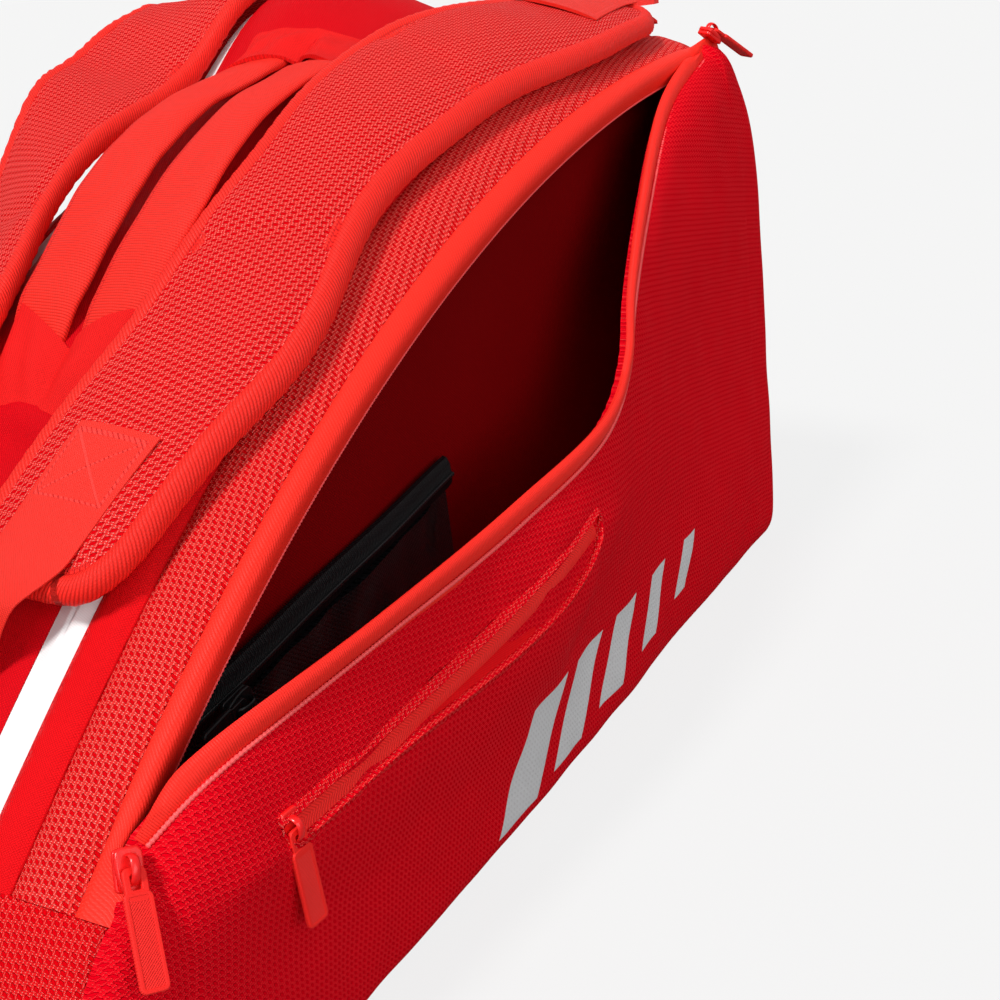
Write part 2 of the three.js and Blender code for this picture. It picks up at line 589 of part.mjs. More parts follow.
function middleLine(points) {
  const curve = new THREE.CatmullRomCurve3(points.map(([x, y]) => vec(x, y, 0)));
  const line = curve.getPoints(120);
  return (x) => {
    const i = Math.max(1, line.findIndex((p) => p.x >= x));
    const [a, b] = [line[i - 1], line[i]];
    return lerp(a.y, b.y, (x - a.x) / (b.x - a.x));
  };
}

const PAD_START = -222;
const PAD_END = 300;
const padHalf = (x) => {
  const near = clamp01((x - PAD_START) / 26);
  const far = clamp01((PAD_END - x) / 34);
  const waist = 1 - 0.16 * Math.exp(-(((x + 15) / 50) ** 2));
  return STRAP_HALF * waist * (0.55 + 0.45 * Math.sqrt(1 - (1 - near) ** 2))
    * (0.5 + 0.5 * Math.sqrt(1 - (1 - far) ** 2));
};
const straps = {
  front: middleLine([[-240, -60], [-210, -66], [-160, -76], [-108, -87], [-34, -83], [40, -80],
    [100, -82], [150, -88], [200, -91], [250, -89], [310, -86]]),
  rear: middleLine([[-240, 60], [-210, 62], [-160, 74], [-94, 90], [-40, 104], [30, 108],
    [110, 110], [170, 108], [220, 100], [310, 84]]),
};
straps.rear.floats = true;
const anchorY = 25;
const WEBBING_END = -270;
const LOCK_X = -284;
const TAB_START = 224;
const PATCH_LIFT = STRAP_LIFT + STRAP_THICK + SEAM_GAP;
for (const [side, sign] of [['front', -1], ['rear', 1]]) {
  const middle = straps[side];
  addMesh(`shoulder_strap_${side}`,
    lyingStrap(middle, padHalf, STRAP_LIFT, STRAP_THICK, PAD_START, PAD_END, 24), RED);
  // Lower webbing: sewn down on the strap with a stitched box, then off its near end, down
  // towards the middle of the bag and on to the ladder lock.
  const lowerMiddle = (x) => lerp(middle(x), sign * anchorY, smooth((PAD_START + 12 - x) / 62));
  const lowerLift = (x) => lerp(4.8, PATCH_LIFT, smooth((x - PAD_START + 26) / 20));
  addMesh(`strap_webbing_lower_${side}`, lyingStrap(lowerMiddle, () => WEBBING_NARROW / 2,
    lowerLift, WEBBING_THICK, WEBBING_END, PAD_START + 60, 12), BRIGHT_RED);

  // Ladder lock at the near end of the top.
  const lockStation = topStation(LOCK_X);
  const lockFrame = basis(vec(lockStation.nz, 0, -lockStation.nx), vec(lockStation.nx, 0, lockStation.nz));
  const lockOutline = polygon([[-11, -22], [11, -22], [11, 22], [-11, 22]]);
  for (const [from, to, reach] of [[-8, -2.5, 19.6], [1, 6.5, 19.2]]) {
    lockOutline.holes.push(new THREE.Path([[from, -reach], [from, reach], [to, reach], [to, -reach]]
      .map(([x, y]) => new THREE.Vector2(x, y))));
  }
  const lock = addMesh(`ladder_lock_${side}`, extrudeUp(lockOutline, 4, 0), RED, 0.35);
  lock.applyMatrix4(lockFrame.setPosition(onStation(lockStation, sign * anchorY, 4.4)));

  // Far end: webbing from the tab through a moulded loop to an anchor on the spine.
  const loopX = PAD_END + 14;
  const loopStation = { x: loopX, z: TOP_HEIGHT, nx: 0, nz: 1, crown: 1 };
  const loopY = middle(PAD_END);
  const loopOutline = new THREE.Shape();
  loopOutline.absellipse(0, 0, 12, 27, 0, 2 * Math.PI, false, 0);
  const loopHole = new THREE.Path();
  loopHole.absellipse(0, 0, 7, 21.5, 0, 2 * Math.PI, true, 0);
  loopOutline.holes.push(loopHole);
  const loop = addMesh(`strap_loop_${side}`, new THREE.ExtrudeGeometry(loopOutline,
    { depth: 4, bevelEnabled: false, curveSegments: 5 }), BRIGHT_RED, 0.3);
  loop.position.copy(onStation(loopStation, loopY, STRAP_LIFT + 5));
  addMesh(`strap_tab_${side}`, lyingStrap(() => loopY,
    (x) => lerp(27, WEBBING_NARROW / 2, clamp01((x - TAB_START) / 56)),
    PATCH_LIFT + 1.4, WEBBING_THICK, TAB_START, loopX - 14, 5), BRIGHT_RED);
  const farAnchor = steps(loopX + 1, loopX + 14, 2).map((x) => {
    const drop = FAR_CORNER - Math.sqrt(FAR_CORNER ** 2 - (x - TOP_CENTRE_X) ** 2);
    return { point: onStation({ ...loopStation, x, z: TOP_HEIGHT - drop }, loopY, 5.5),
      normal: vec(0, 0, 1), half: WEBBING_NARROW / 2 };
  });
  addMesh(`strap_anchor_far_${side}`, ribbon(farAnchor, WEBBING_THICK), BRIGHT_RED);
}

// ---------------------------------------------------------------- carry handles
// Raised arch of webbing on the spine; its tucked ends are separate fixed lengths.
const HANDLE_FOOT = 24;
function handleStations(from, to, count, y) {
  return steps(from, to, count).map((x) => {
    const share = (x - HANDLE_START) / (HANDLE_END - HANDLE_START);
    const rise = 1.2 + HANDLE_RISE * Math.sin(Math.PI * clamp01(share)) ** 0.8;
    const s = topStation(x);
    return { point: onStation(s, y, rise), normal: vec(s.nx, 0, s.nz), half: HANDLE_WIDTH / 2 };
  });
}
for (const [side, sign] of [['front', -1], ['rear', 1]]) {
  addMesh(`carry_handle_${side}`, ribbon(handleStations(HANDLE_START + HANDLE_FOOT,
    HANDLE_END - HANDLE_FOOT, 14, sign * HANDLE_Y), 3), BRIGHT_RED);
}
// Sewn pleats that hold both handles, and the one that holds both lower webbings.
const pleat = (x0, x1, half, thick, lift = SEAM_GAP) =>
  lyingStrap(() => 0, () => half, lift, thick, x0, x1, 3);
const handleSpan = HANDLE_Y + HANDLE_WIDTH / 2;
addMesh('handle_pleat_near',
  pleat(HANDLE_START - 8, HANDLE_START + HANDLE_FOOT - 8, handleSpan, 5), BRIGHT_RED);
addMesh('handle_pleat_far',
  pleat(HANDLE_END - HANDLE_FOOT + 8, HANDLE_END + 8, handleSpan, 5, 0.8), BRIGHT_RED);
addMesh('webbing_pleat_near',
  pleat(NEAR_SEAM_X + 4, LOCK_X - 2, anchorY + WEBBING_NARROW / 2, 3), BRIGHT_RED);

export default bag;
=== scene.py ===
"""Racket tournament bag: fabric, webbing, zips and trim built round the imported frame."""
import math

import bpy
import numpy as np
from mathutils import Matrix, Vector


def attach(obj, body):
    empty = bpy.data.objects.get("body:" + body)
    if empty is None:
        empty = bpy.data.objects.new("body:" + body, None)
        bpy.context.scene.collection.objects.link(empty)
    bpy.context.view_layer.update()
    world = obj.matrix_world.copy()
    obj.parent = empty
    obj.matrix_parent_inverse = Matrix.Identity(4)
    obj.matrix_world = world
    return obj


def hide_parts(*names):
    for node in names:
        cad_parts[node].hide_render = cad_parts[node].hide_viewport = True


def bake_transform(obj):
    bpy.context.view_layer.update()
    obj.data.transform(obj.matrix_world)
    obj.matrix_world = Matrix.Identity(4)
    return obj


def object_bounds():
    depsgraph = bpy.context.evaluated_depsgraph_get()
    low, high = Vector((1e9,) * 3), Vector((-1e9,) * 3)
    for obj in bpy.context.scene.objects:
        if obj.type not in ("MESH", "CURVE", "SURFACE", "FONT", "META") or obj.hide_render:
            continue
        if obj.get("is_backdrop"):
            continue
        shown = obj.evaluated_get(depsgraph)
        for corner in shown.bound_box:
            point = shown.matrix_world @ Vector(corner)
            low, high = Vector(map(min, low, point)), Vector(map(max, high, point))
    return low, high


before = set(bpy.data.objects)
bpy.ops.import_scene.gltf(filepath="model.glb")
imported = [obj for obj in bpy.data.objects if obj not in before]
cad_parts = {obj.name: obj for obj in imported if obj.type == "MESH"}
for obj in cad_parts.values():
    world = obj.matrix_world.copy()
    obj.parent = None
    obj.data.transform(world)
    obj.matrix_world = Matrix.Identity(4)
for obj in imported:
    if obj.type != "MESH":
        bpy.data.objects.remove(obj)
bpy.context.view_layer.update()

MM = 0.001
PI = math.pi

# ------------------------------------------------------------------ the frame's dimensions, mm
TOP_RADIUS, TOP_X, TOP_HEIGHT, FAR_CORNER, FAR_SEAM = 960.0, 306.0, 346.0, 50.0, 112.0
NEAR_SEAM_X, NOSE_RADIUS, FILLET_NEAR, FILLET_FAR = -306.0, 150.0, 28.0, 18.0
CROWN, MIDDLE_CROWN = 25.0, 2.0
SPINE_HALF, ZIP_HALF, BAND_HALF, GUSSET_HALF, ZIP_EDGE = 70.0, 86.0, 105.0, 134.0, 141.0
BASE_HALF, SIDE_HALF, POCKET_WALL = 149.0, 166.0, 121.0
STRAP_HALF, STRAP_LIFT, STRAP_THICK = 37.5, 8.0, 12.0
FAR_X = TOP_X + FAR_CORNER
TOP_Z = TOP_HEIGHT - TOP_RADIUS
CORNER_Z = TOP_HEIGHT - FAR_CORNER
NEAR_ANGLE = math.acos((NEAR_SEAM_X - TOP_X) / TOP_RADIUS)
ROOT = "bag_body"


def lerp(a, b, t):
    return a + (b - a) * t


def smooth(t):
    t = np.clip(t, 0.0, 1.0)
    return t * t * (3 - 2 * t)


def crown_at(y):
    return CROWN * (1 - (np.abs(y) / 136.0) ** 2.2)


def crown_share(x, nz):
    rise = lerp(0.55, MIDDLE_CROWN, smooth((x - NEAR_SEAM_X) / 340))
    return rise * lerp(1.0, 1 / MIDDLE_CROWN, smooth((x - 110) / 190)) * lerp(0.3, 1.0, np.clip(nz, 0, 1))


def fullness(x, y):
    """Swelling of the rear half of the top, past the carry handles."""
    along = smooth((x - 60) / 110) * smooth((300 - x) / 110)
    return 42 * along * smooth((y + 60) / 120) * np.maximum(0, 1 - (np.abs(y) / 136) ** 3.2)


class Rail:
    """Stations along the side profile: a point, an outward normal and a share of the crown."""

    def __init__(self, x, z, nx, nz, share):
        self.x, self.z, self.nx, self.nz, self.share = (np.asarray(a, float) for a in (x, z, nx, nz, share))
        step = np.hypot(np.diff(self.x), np.diff(self.z))
        self.u = np.concatenate([[0], np.cumsum(step)])

    def at(self, y, lift):
        y = np.broadcast_to(y, (len(self.x), np.shape(y)[-1]))
        swell = fullness(self.x[:, None], y) * (self.nz[:, None] > 0)
        rise = crown_at(y) * self.share[:, None] + swell + lift
        return np.stack([self.x[:, None] + self.nx[:, None] * rise, y,
                         self.z[:, None] + self.nz[:, None] * rise], -1)

    def part(self, keep):
        return Rail(self.x[keep], self.z[keep], self.nx[keep], self.nz[keep], self.share[keep])


def arc(cx, cz, r, a0, a1, step):
    a = np.linspace(a0, a1, max(3, int(abs(a1 - a0) * r / step)))
    return cx + r * np.cos(a), cz + r * np.sin(a), np.cos(a), np.sin(a)


def joined(*runs):
    return [np.concatenate([r[i] if k == 0 else r[i][1:] for k, r in enumerate(runs)]) for i in range(4)]


down = np.linspace(CORNER_Z, FAR_SEAM, 60)
bx, bz, bnx, bnz = joined(arc(TOP_X, TOP_Z, TOP_RADIUS, NEAR_ANGLE, PI / 2, 3.2),
                          arc(TOP_X, CORNER_Z, FAR_CORNER, PI / 2, 0, 3.2),
                          (np.full(60, FAR_X), down, np.ones(60), np.zeros(60)))
belt = Rail(bx, bz, bnx, bnz, crown_share(bx, bnz))

nose_x = bx[0] - NOSE_RADIUS * bnx[0]
nose_z = bz[0] - NOSE_RADIUS * bnz[0]
fillet_x = nose_x - math.sqrt((NOSE_RADIUS - FILLET_NEAR) ** 2 - (FILLET_NEAR - nose_z) ** 2)
nose_end = math.atan2(FILLET_NEAR - nose_z, fillet_x - nose_x) + 2 * PI
if nose_end > 1.5 * PI:
    nose_end -= 2 * PI
flat_x = np.linspace(fillet_x, FAR_X - FILLET_FAR, 120)
nx_, nz_, nnx, nnz = joined(
    arc(nose_x, nose_z, NOSE_RADIUS, NEAR_ANGLE, nose_end, 3.5),
    arc(fillet_x, FILLET_NEAR, FILLET_NEAR, nose_end, 1.5 * PI, 3.5),
    (flat_x, np.zeros(120), np.zeros(120), -np.ones(120)),
    arc(FAR_X - FILLET_FAR, FILLET_FAR, FILLET_FAR, 1.5 * PI, 2 * PI, 2.5),
    (np.full(26, FAR_X), np.linspace(FILLET_FAR, FAR_SEAM, 26), np.ones(26), np.zeros(26)))
base_share = np.where(nx_ < 0, 0.55 * smooth((nz_ - 20) / (bz[0] - 20)), 0.3 * smooth((nz_ - 10) / (FAR_SEAM - 10)))
base_rail = Rail(nx_, nz_, nnx, nnz, base_share)


def on_top(x, y, lift):
    """Point over the top surface at x, y, raised along its normal. Arrays broadcast."""
    x, y, lift = np.broadcast_arrays(np.asarray(x, float), np.asarray(y, float), np.asarray(lift, float))
    over = np.maximum(x - TOP_X, 0)
    nx = np.where(x > TOP_X, over / FAR_CORNER, (x - TOP_X) / TOP_RADIUS)
    nz = np.sqrt(np.maximum(1 - nx * nx, 0))
    z = np.where(x > TOP_X, CORNER_Z + FAR_CORNER * nz, TOP_Z + TOP_RADIUS * nz)
    rise = crown_at(y) * crown_share(x, nz) + fullness(x, y) + lift
    return np.stack([x + nx * rise, y, z + nz * rise], -1)


# ------------------------------------------------------------------ soft irregularity
def ripple(u, v, size, seed):
    """Smooth irregular field of about -1..1, made of a few waves."""
    rng = np.random.RandomState(seed)
    total = 0
    for _ in range(7):
        angle, phase, k = rng.uniform(0, 2 * PI), rng.uniform(0, 2 * PI), rng.uniform(0.7, 1.6)
        total = total + np.sin(2 * PI * k / size * (u * math.cos(angle) + v * math.sin(angle)) + phase)
    return total / 3.2


def pucker(u, edge, seed, pitch=8.5, reach=5.0):
    """Gathers beside a seam: edge is the distance from it."""
    wander = 0.9 * ripple(u, 0 * u, 55.0, seed)
    strength = 0.6 + 0.4 * ripple(u, 0 * u, 90.0, seed + 1)
    return np.exp(-edge / reach) * np.sin(2 * PI * u / pitch + 2 * wander) * strength


# ------------------------------------------------------------------ meshes
def new_object(name, verts, faces, flat, material, smooth_angle=50.0, extra=None):
    mesh = bpy.data.meshes.new(name)
    mesh.from_pydata((np.asarray(verts, float).reshape(-1, 3) * MM).tolist(), [], faces)
    attribute = mesh.attributes.new("flat", "FLOAT_VECTOR", "POINT")
    uv = np.zeros((len(mesh.vertices), 3), np.float32)
    uv[:, :2] = np.asarray(flat, float).reshape(-1, 2)
    if extra is not None:
        uv[:, 2] = np.asarray(extra, float).reshape(-1)
    attribute.data.foreach_set("vector", uv.ravel())
    for m in material if isinstance(material, (list, tuple)) else [material]:
        mesh.materials.append(m)
    mesh.polygons.foreach_set("use_smooth", [True] * len(mesh.polygons))
    mesh.validate()
    mesh.update()
    mesh.set_sharp_from_angle(angle=math.radians(smooth_angle))
    obj = bpy.data.objects.new(name, mesh)
    bpy.context.scene.collection.objects.link(obj)
    return obj


def grid_faces(rows, cols, start=0, flip=False, wrap_rows=False, wrap_cols=False):
    out = []
    for r in range(rows if wrap_rows else rows - 1):
        r2 = (r + 1) % rows
        for c in range(cols if wrap_cols else cols - 1):
            c2 = (c + 1) % cols
            q = [start + r * cols + c, start + r2 * cols + c, start + r2 * cols + c2, start + r * cols + c2]
            out.append(q[::-1] if flip else q)
    return out


def slab(name, outer, inner, flat, material, flip=False, **kw):
    """Closed sheet between two grids of points, its flat size in flat."""
    rows, cols = outer.shape[:2]
    n = rows * cols
    faces = grid_faces(rows, cols, 0, flip) + grid_faces(rows, cols, n, not flip)
    ring = ([r * cols for r in range(rows)] + [(rows - 1) * cols + c for c in range(1, cols)]
            + [r * cols + cols - 1 for r in range(rows - 2, -1, -1)] + [c for c in range(cols - 2, 0, -1)])
    for a, b in zip(ring, ring[1:] + ring[:1]):
        q = [a, b, b + n, a + n]
        faces.append(q if flip else q[::-1])
    verts = np.concatenate([outer.reshape(-1, 3), inner.reshape(-1, 3)])
    obj = new_object(name, verts, faces, np.concatenate([flat.reshape(-1, 2)] * 2), material, **kw)
    face_out(obj)
    return obj


def tube(name, rings, flat, material, closed_path=False, **kw):
    """Closed skin through rings of points, (path, section, 3), capped at open ends."""
    rows, cols = rings.shape[:2]
    faces = grid_faces(rows, cols, 0, False, closed_path, True)
    if not closed_path:
        faces += [list(range(cols)), list(range((rows - 1) * cols, rows * cols))[::-1]]
    obj = new_object(name, rings.reshape(-1, 3), faces, flat, material, **kw)
    face_out(obj)
    return obj


def face_out(obj):
    """Turns the faces outward when the mesh encloses a negative volume."""
    mesh = obj.data
    mesh.calc_loop_triangles()
    co = np.array([v.co for v in mesh.vertices]).reshape(-1, 3)
    tri = np.array([t.vertices for t in mesh.loop_triangles])
    a, b, c = co[tri[:, 0]], co[tri[:, 1]], co[tri[:, 2]]
    if np.einsum("ij,ij->i", a, np.cross(b, c)).sum() < 0:
        mesh.flip_normals()


def normals_of(grid):
    """Unit normals of a grid of points, from its own rows and columns."""
    du = np.gradient(grid, axis=0)
    dv = np.gradient(grid, axis=1)
    n = np.cross(du, dv)
    return n / np.maximum(np.linalg.norm(n, axis=-1, keepdims=True), 1e-9)


def lengths(grid, axis):
    step = np.linalg.norm(np.diff(grid, axis=axis), axis=-1)
    zero = np.zeros((1, step.shape[1]) if axis == 0 else (step.shape[0], 1))
    return np.concatenate([zero, np.cumsum(step, axis=axis)], axis=axis)


def done(obj, body, slot, *nodes):
    if body:
        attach(obj, body)
    if nodes:
        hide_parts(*nodes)
    return obj


# ------------------------------------------------------------------ materials
class Graph:
    """A material's node tree, with short calls for arithmetic on sockets."""

    def __init__(self, name):
        self.material = bpy.data.materials.new(name)
        self.material.use_nodes = True
        self.tree = self.material.node_tree
        self.bsdf = self.tree.nodes["Principled BSDF"]
        at = self.tree.nodes.new("ShaderNodeAttribute")
        at.attribute_name = "flat"
        parts = self.tree.nodes.new("ShaderNodeSeparateXYZ")
        self.tree.links.new(at.outputs["Vector"], parts.inputs[0])
        self.flat = at.outputs["Vector"]
        self.u, self.v, self.w = parts.outputs[0], parts.outputs[1], parts.outputs[2]

    def put(self, socket, value):
        if isinstance(value, bpy.types.NodeSocket):
            self.tree.links.new(value, socket)
        else:
            socket.default_value = value

    def math(self, op, *args):
        node = self.tree.nodes.new("ShaderNodeMath")
        node.operation = op
        for i, a in enumerate(args):
            self.put(node.inputs[i], a)
        return node.outputs[0]

    def add(self, *args):
        total = args[0]
        for a in args[1:]:
            total = self.math("ADD", total, a)
        return total

    def mul(self, *args):
        total = args[0]
        for a in args[1:]:
            total = self.math("MULTIPLY", total, a)
        return total

    def wave(self, x, turns=1.0, phase=0.0):
        """0..1 wave of x, in whole turns."""
        s = self.math("SINE", self.math("MULTIPLY_ADD", x, 2 * PI * turns, 2 * PI * phase))
        return self.math("MULTIPLY_ADD", s, 0.5, 0.5)

    def cosine(self, x):
        return self.math("COSINE", self.mul(x, 2 * PI))

    def step(self, x, low, high, out_low=0.0, out_high=1.0):
        node = self.tree.nodes.new("ShaderNodeMapRange")
        node.interpolation_type = "SMOOTHSTEP"
        self.put(node.inputs[0], x)
        for i, value in enumerate((low, high, out_low, out_high)):
            self.put(node.inputs[i + 1], value)
        return node.outputs[0]

    def band(self, x, centre, half, soft=0.15):
        """1 within half of centre, 0 outside."""
        return self.step(self.math("ABSOLUTE", self.math("SUBTRACT", x, centre)), half + soft, half)

    def noise(self, scale, detail=3.0, rough=0.55, where=None, out=0):
        node = self.tree.nodes.new("ShaderNodeTexNoise")
        node.inputs["Scale"].default_value = scale
        node.inputs["Detail"].default_value = detail
        node.inputs["Roughness"].default_value = rough
        self.put(node.inputs["Vector"], self.flat if where is None else where)
        return node.outputs[out]

    def object_noise(self, scale, detail=3.0, rough=0.55):
        at = self.tree.nodes.new("ShaderNodeTexCoord")
        return self.noise(scale, detail, rough, at.outputs["Object"])

    def mix(self, fac, a, b):
        node = self.tree.nodes.new("ShaderNodeMix")
        node.data_type = "RGBA"
        self.put(node.inputs[0], fac)
        for socket, value in ((node.inputs[6], a), (node.inputs[7], b)):
            self.put(socket, value if isinstance(value, bpy.types.NodeSocket) else (*value, 1.0))
        return node.outputs[2]

    def finish(self, colour, height=None, distance=0.4, rough=0.6, specular=0.4, sheen=0.0,
               sheen_rough=0.4, sheen_tint=(1, 1, 1), coat=0.0, coat_rough=0.2, metallic=0.0):
        b = self.bsdf
        self.put(b.inputs["Base Color"], colour if isinstance(colour, bpy.types.NodeSocket) else (*colour, 1.0))
        self.put(b.inputs["Roughness"], rough)
        self.put(b.inputs["Specular IOR Level"], specular)
        b.inputs["Sheen Weight"].default_value = sheen
        b.inputs["Sheen Roughness"].default_value = sheen_rough
        b.inputs["Sheen Tint"].default_value = (*sheen_tint, 1.0)
        b.inputs["Coat Weight"].default_value = coat
        b.inputs["Coat Roughness"].default_value = coat_rough
        b.inputs["Metallic"].default_value = metallic
        if height is not None:
            bump = self.tree.nodes.new("ShaderNodeBump")
            bump.inputs["Strength"].default_value = 1.0
            bump.inputs["Distance"].default_value = distance * MM
            self.put(bump.inputs["Height"], height)
            self.tree.links.new(bump.outputs[0], b.inputs["Normal"])
        return self.material


# Lattice of the chunky weave, mm: two steps from one hole to the next.
STEP_A, STEP_B = (0.42, 3.55), (3.63, -0.71)
_det = STEP_A[0] * STEP_B[1] - STEP_B[0] * STEP_A[1]
INV = ((STEP_B[1] / _det, -STEP_B[0] / _det), (-STEP_A[1] / _det, STEP_A[0] / _det))


def chunky_weave(g, size=0.86):
    """Slit-like holes in a slanted lattice, framed by raised threads. Returns hole, thread, glint."""
    warp = g.math("MULTIPLY_ADD", g.noise(0.05, 2.0), 1.6, -0.8)
    u, v = g.add(g.u, warp), g.add(g.v, g.mul(warp, 0.7))
    k = 1.0 / size
    p = g.add(g.mul(u, INV[0][0] * k), g.mul(v, INV[0][1] * k))
    q = g.add(g.mul(u, INV[1][0] * k), g.mul(v, INV[1][1] * k))
    slant = g.add(p, q)
    field = g.add(g.mul(g.cosine(p), 0.5), g.mul(g.cosine(q), 0.5), g.mul(g.cosine(slant), 0.75))
    hole = g.step(field, 0.0, 0.85)
    strands = g.cosine(g.math("SUBTRACT", g.mul(p, 2.0), q))
    cross = g.cosine(g.add(g.mul(q, 3.0), p))
    thread = g.step(g.add(g.mul(strands, 0.55), g.mul(cross, 0.45)), -0.55, 0.6)
    open_ = g.math("SUBTRACT", 1.0, hole)
    dots = g.mul(g.cosine(g.mul(slant, 2.0)), g.cosine(g.mul(g.math("SUBTRACT", p, q), 2.0)))
    glint = g.mul(g.step(dots, 0.3, 0.85), g.step(thread, 0.3, 0.8), open_)
    return hole, g.mul(thread, open_), glint


def stitch_rows(g, rows, height, colour, thread_colour, dark, pitch=3.6, half=0.45, along=None):
    """Rows of stitches at distances across the piece: sunk line, raised threads."""
    along = g.u if along is None else along
    gap = g.step(g.wave(along, 1.0 / pitch), 0.08, 0.22)
    for v0 in rows:
        line = g.band(g.v, v0, half * 1.6, 0.9)
        thread = g.mul(g.band(g.v, v0, half, 0.25), gap)
        height = g.add(height, g.mul(line, -0.9), g.mul(thread, 0.9))
        colour = g.mix(g.mul(line, 0.5), colour, dark)
        colour = g.mix(thread, colour, thread_colour)
    return height, colour


# Colours of the chunky weave. The thread colour here is the fabric's red made pinker for the top pieces that face the
# key light, so it is partly the fabric's own red and partly painted light. GLINT is a painted highlight: pale key-light
# glints painted into the threads' colour.
BRIGHT, LIT_THREAD, HOLE = (0.97, 0.022, 0.015), (0.97, 0.050, 0.042), (0.62, 0.0005, 0.004)
GLINT = (1.0, 0.50, 0.42)
DARK_STITCH = (0.46, 0.002, 0.008)


def chunky(name, thread=LIT_THREAD, hole=HOLE, rows=(), distance=0.5, decor=None, rough=0.42, glint_share=0.85,
           specular=0.2):
    g = Graph(name)
    holes, threads, glint = chunky_weave(g)
    between = tuple(0.6 * a + 0.4 * b for a, b in zip(hole, thread))
    colour = g.mix(threads, between, thread)
    colour = g.mix(g.mul(glint, glint_share), colour, GLINT)
    colour = g.mix(g.mul(holes, 0.95), colour, hole)
    height = g.add(g.mul(holes, -0.9), g.mul(threads, 0.8), g.mul(glint, 0.3))
    if decor:
        mask = decor(g)
        print_colour = g.mix(g.mul(holes, 0.14), (0.66, 0.66, 0.67), (0.42, 0.36, 0.37))
        colour = g.mix(mask, colour, print_colour)
        height = g.add(g.mul(height, g.math("MULTIPLY_ADD", mask, -0.6, 1.0)), g.mul(mask, 0.25))
    height, colour = stitch_rows(g, rows, height, colour, BRIGHT, DARK_STITCH)
    roughness = g.math("MULTIPLY_ADD", g.noise(0.8, 2.0), 0.16, rough - 0.08)
    return g.finish(colour, height, distance, roughness, g.mul(threads, threads, specular))


def plain(name, colour=BRIGHT, dark=None, pitch=1.05, rows=(), distance=0.16, sheen=0.3, rough=0.5, pitch_v=None):
    """Fine plain weave, two threads crossing."""
    g = Graph(name)
    pitch_v = pitch_v or pitch
    warp = g.wave(g.u, 1.0 / pitch)
    weft = g.wave(g.v, 1.0 / pitch_v)
    cross = g.math("ABSOLUTE", g.math("SUBTRACT", warp, weft))
    height = g.add(g.mul(cross, 0.8), g.mul(g.noise(0.35, 2.0), 0.5))
    deep = dark or tuple(0.72 * c for c in colour)
    tone = g.mix(g.step(cross, 0.1, 0.8), deep, colour)
    tone = g.mix(g.step(g.noise(0.02, 3.0), 0.35, 0.7, 0.0, 0.22), tone, deep)
    height, tone = stitch_rows(g, rows, height, tone, tuple(min(1, 1.05 * c + 0.01) for c in colour), DARK_STITCH)
    return g.finish(tone, height, distance, rough, 0.03)


def ribbed(name, colour=BRIGHT, angle=90.0, pitch=1.35, rows=(), distance=0.3, depth=0.55, sheen=0.3,
           chevron=None, rough=0.46, fine=0.5):
    """Ribs at an angle to the length; chevron folds them about a line across the piece."""
    g = Graph(name)
    v = g.v if chevron is None else g.math("ABSOLUTE", g.math("SUBTRACT", g.v, chevron))
    a = math.radians(angle)
    along = g.add(g.mul(g.u, math.sin(a)), g.mul(v, math.cos(a)))
    other = g.add(g.mul(g.u, -math.cos(a)), g.mul(v, math.sin(a)))
    rib = g.math("POWER", g.wave(along, 1.0 / pitch), 0.7)
    thread = g.wave(g.add(other, g.mul(g.math("FLOOR", g.mul(along, 1.0 / pitch)), 0.5 * pitch)), 1.0 / (pitch * 0.9))
    height = g.add(rib, g.mul(thread, 0.35 * fine), g.mul(g.noise(0.25, 2.0), 0.35))
    deep = tuple(depth * c for c in colour)
    tone = g.mix(g.step(rib, 0.05, 0.75), deep, colour)
    light = tuple(min(1.0, c * 1.03 + 0.03) for c in colour)
    tone = g.mix(g.mul(g.step(thread, 0.7, 1.0), g.step(rib, 0.7, 1.0), 0.6), tone, light)
    height, tone = stitch_rows(g, rows, height, tone, colour, DARK_STITCH)
    return g.finish(tone, height, distance, rough, 0.12)


def moulded(name, colour, rough=0.35, grain=0.05, specular=0.5, coat=0.0, diagonal=None):
    g = Graph(name)
    speck = g.object_noise(900.0, 3.0)
    tone = g.mix(g.step(g.object_noise(35.0, 3.0), 0.3, 0.75, 0.0, 0.35), colour, tuple(0.86 * c for c in colour))
    height, distance = speck, grain
    if diagonal:
        rib = g.math("MAXIMUM", g.mul(g.wave(g.add(g.u, g.v), 1.0 / 1.15), g.w), 0.0)
        height, distance = g.add(g.mul(rib, 1.0), g.mul(speck, 0.12)), diagonal
        tone = g.mix(g.mul(g.step(rib, 0.5, 1.0), 0.35), tone, tuple(min(1, 1.1 * c + 0.03) for c in colour))
    roughness = g.math("MULTIPLY_ADD", g.object_noise(220.0, 2.0), 0.16, rough - 0.08)
    return g.finish(tone, height, distance, roughness, specular, 0.0, coat=coat)


GRAPHIC_BARS = 5


def speed_bars(g):
    """Five slanted bars that get shorter towards the high end: a plain, generic print."""
    mask = None
    lean = g.add(g.u, g.mul(g.v, -0.45))
    for i in range(GRAPHIC_BARS):
        start, width = 262 + 56 * i, 40 - 5.5 * i
        bar = g.mul(g.step(lean, start, start + 0.5), g.step(lean, start + width + 0.5, start + width))
        top, low = 84 - 2.0 * i, 22 + 5.0 * i
        bar = g.mul(bar, g.step(g.v, low, low + 0.5), g.step(g.v, top + 0.5, top))
        mask = bar if mask is None else g.math("MAXIMUM", mask, bar)
    return mask
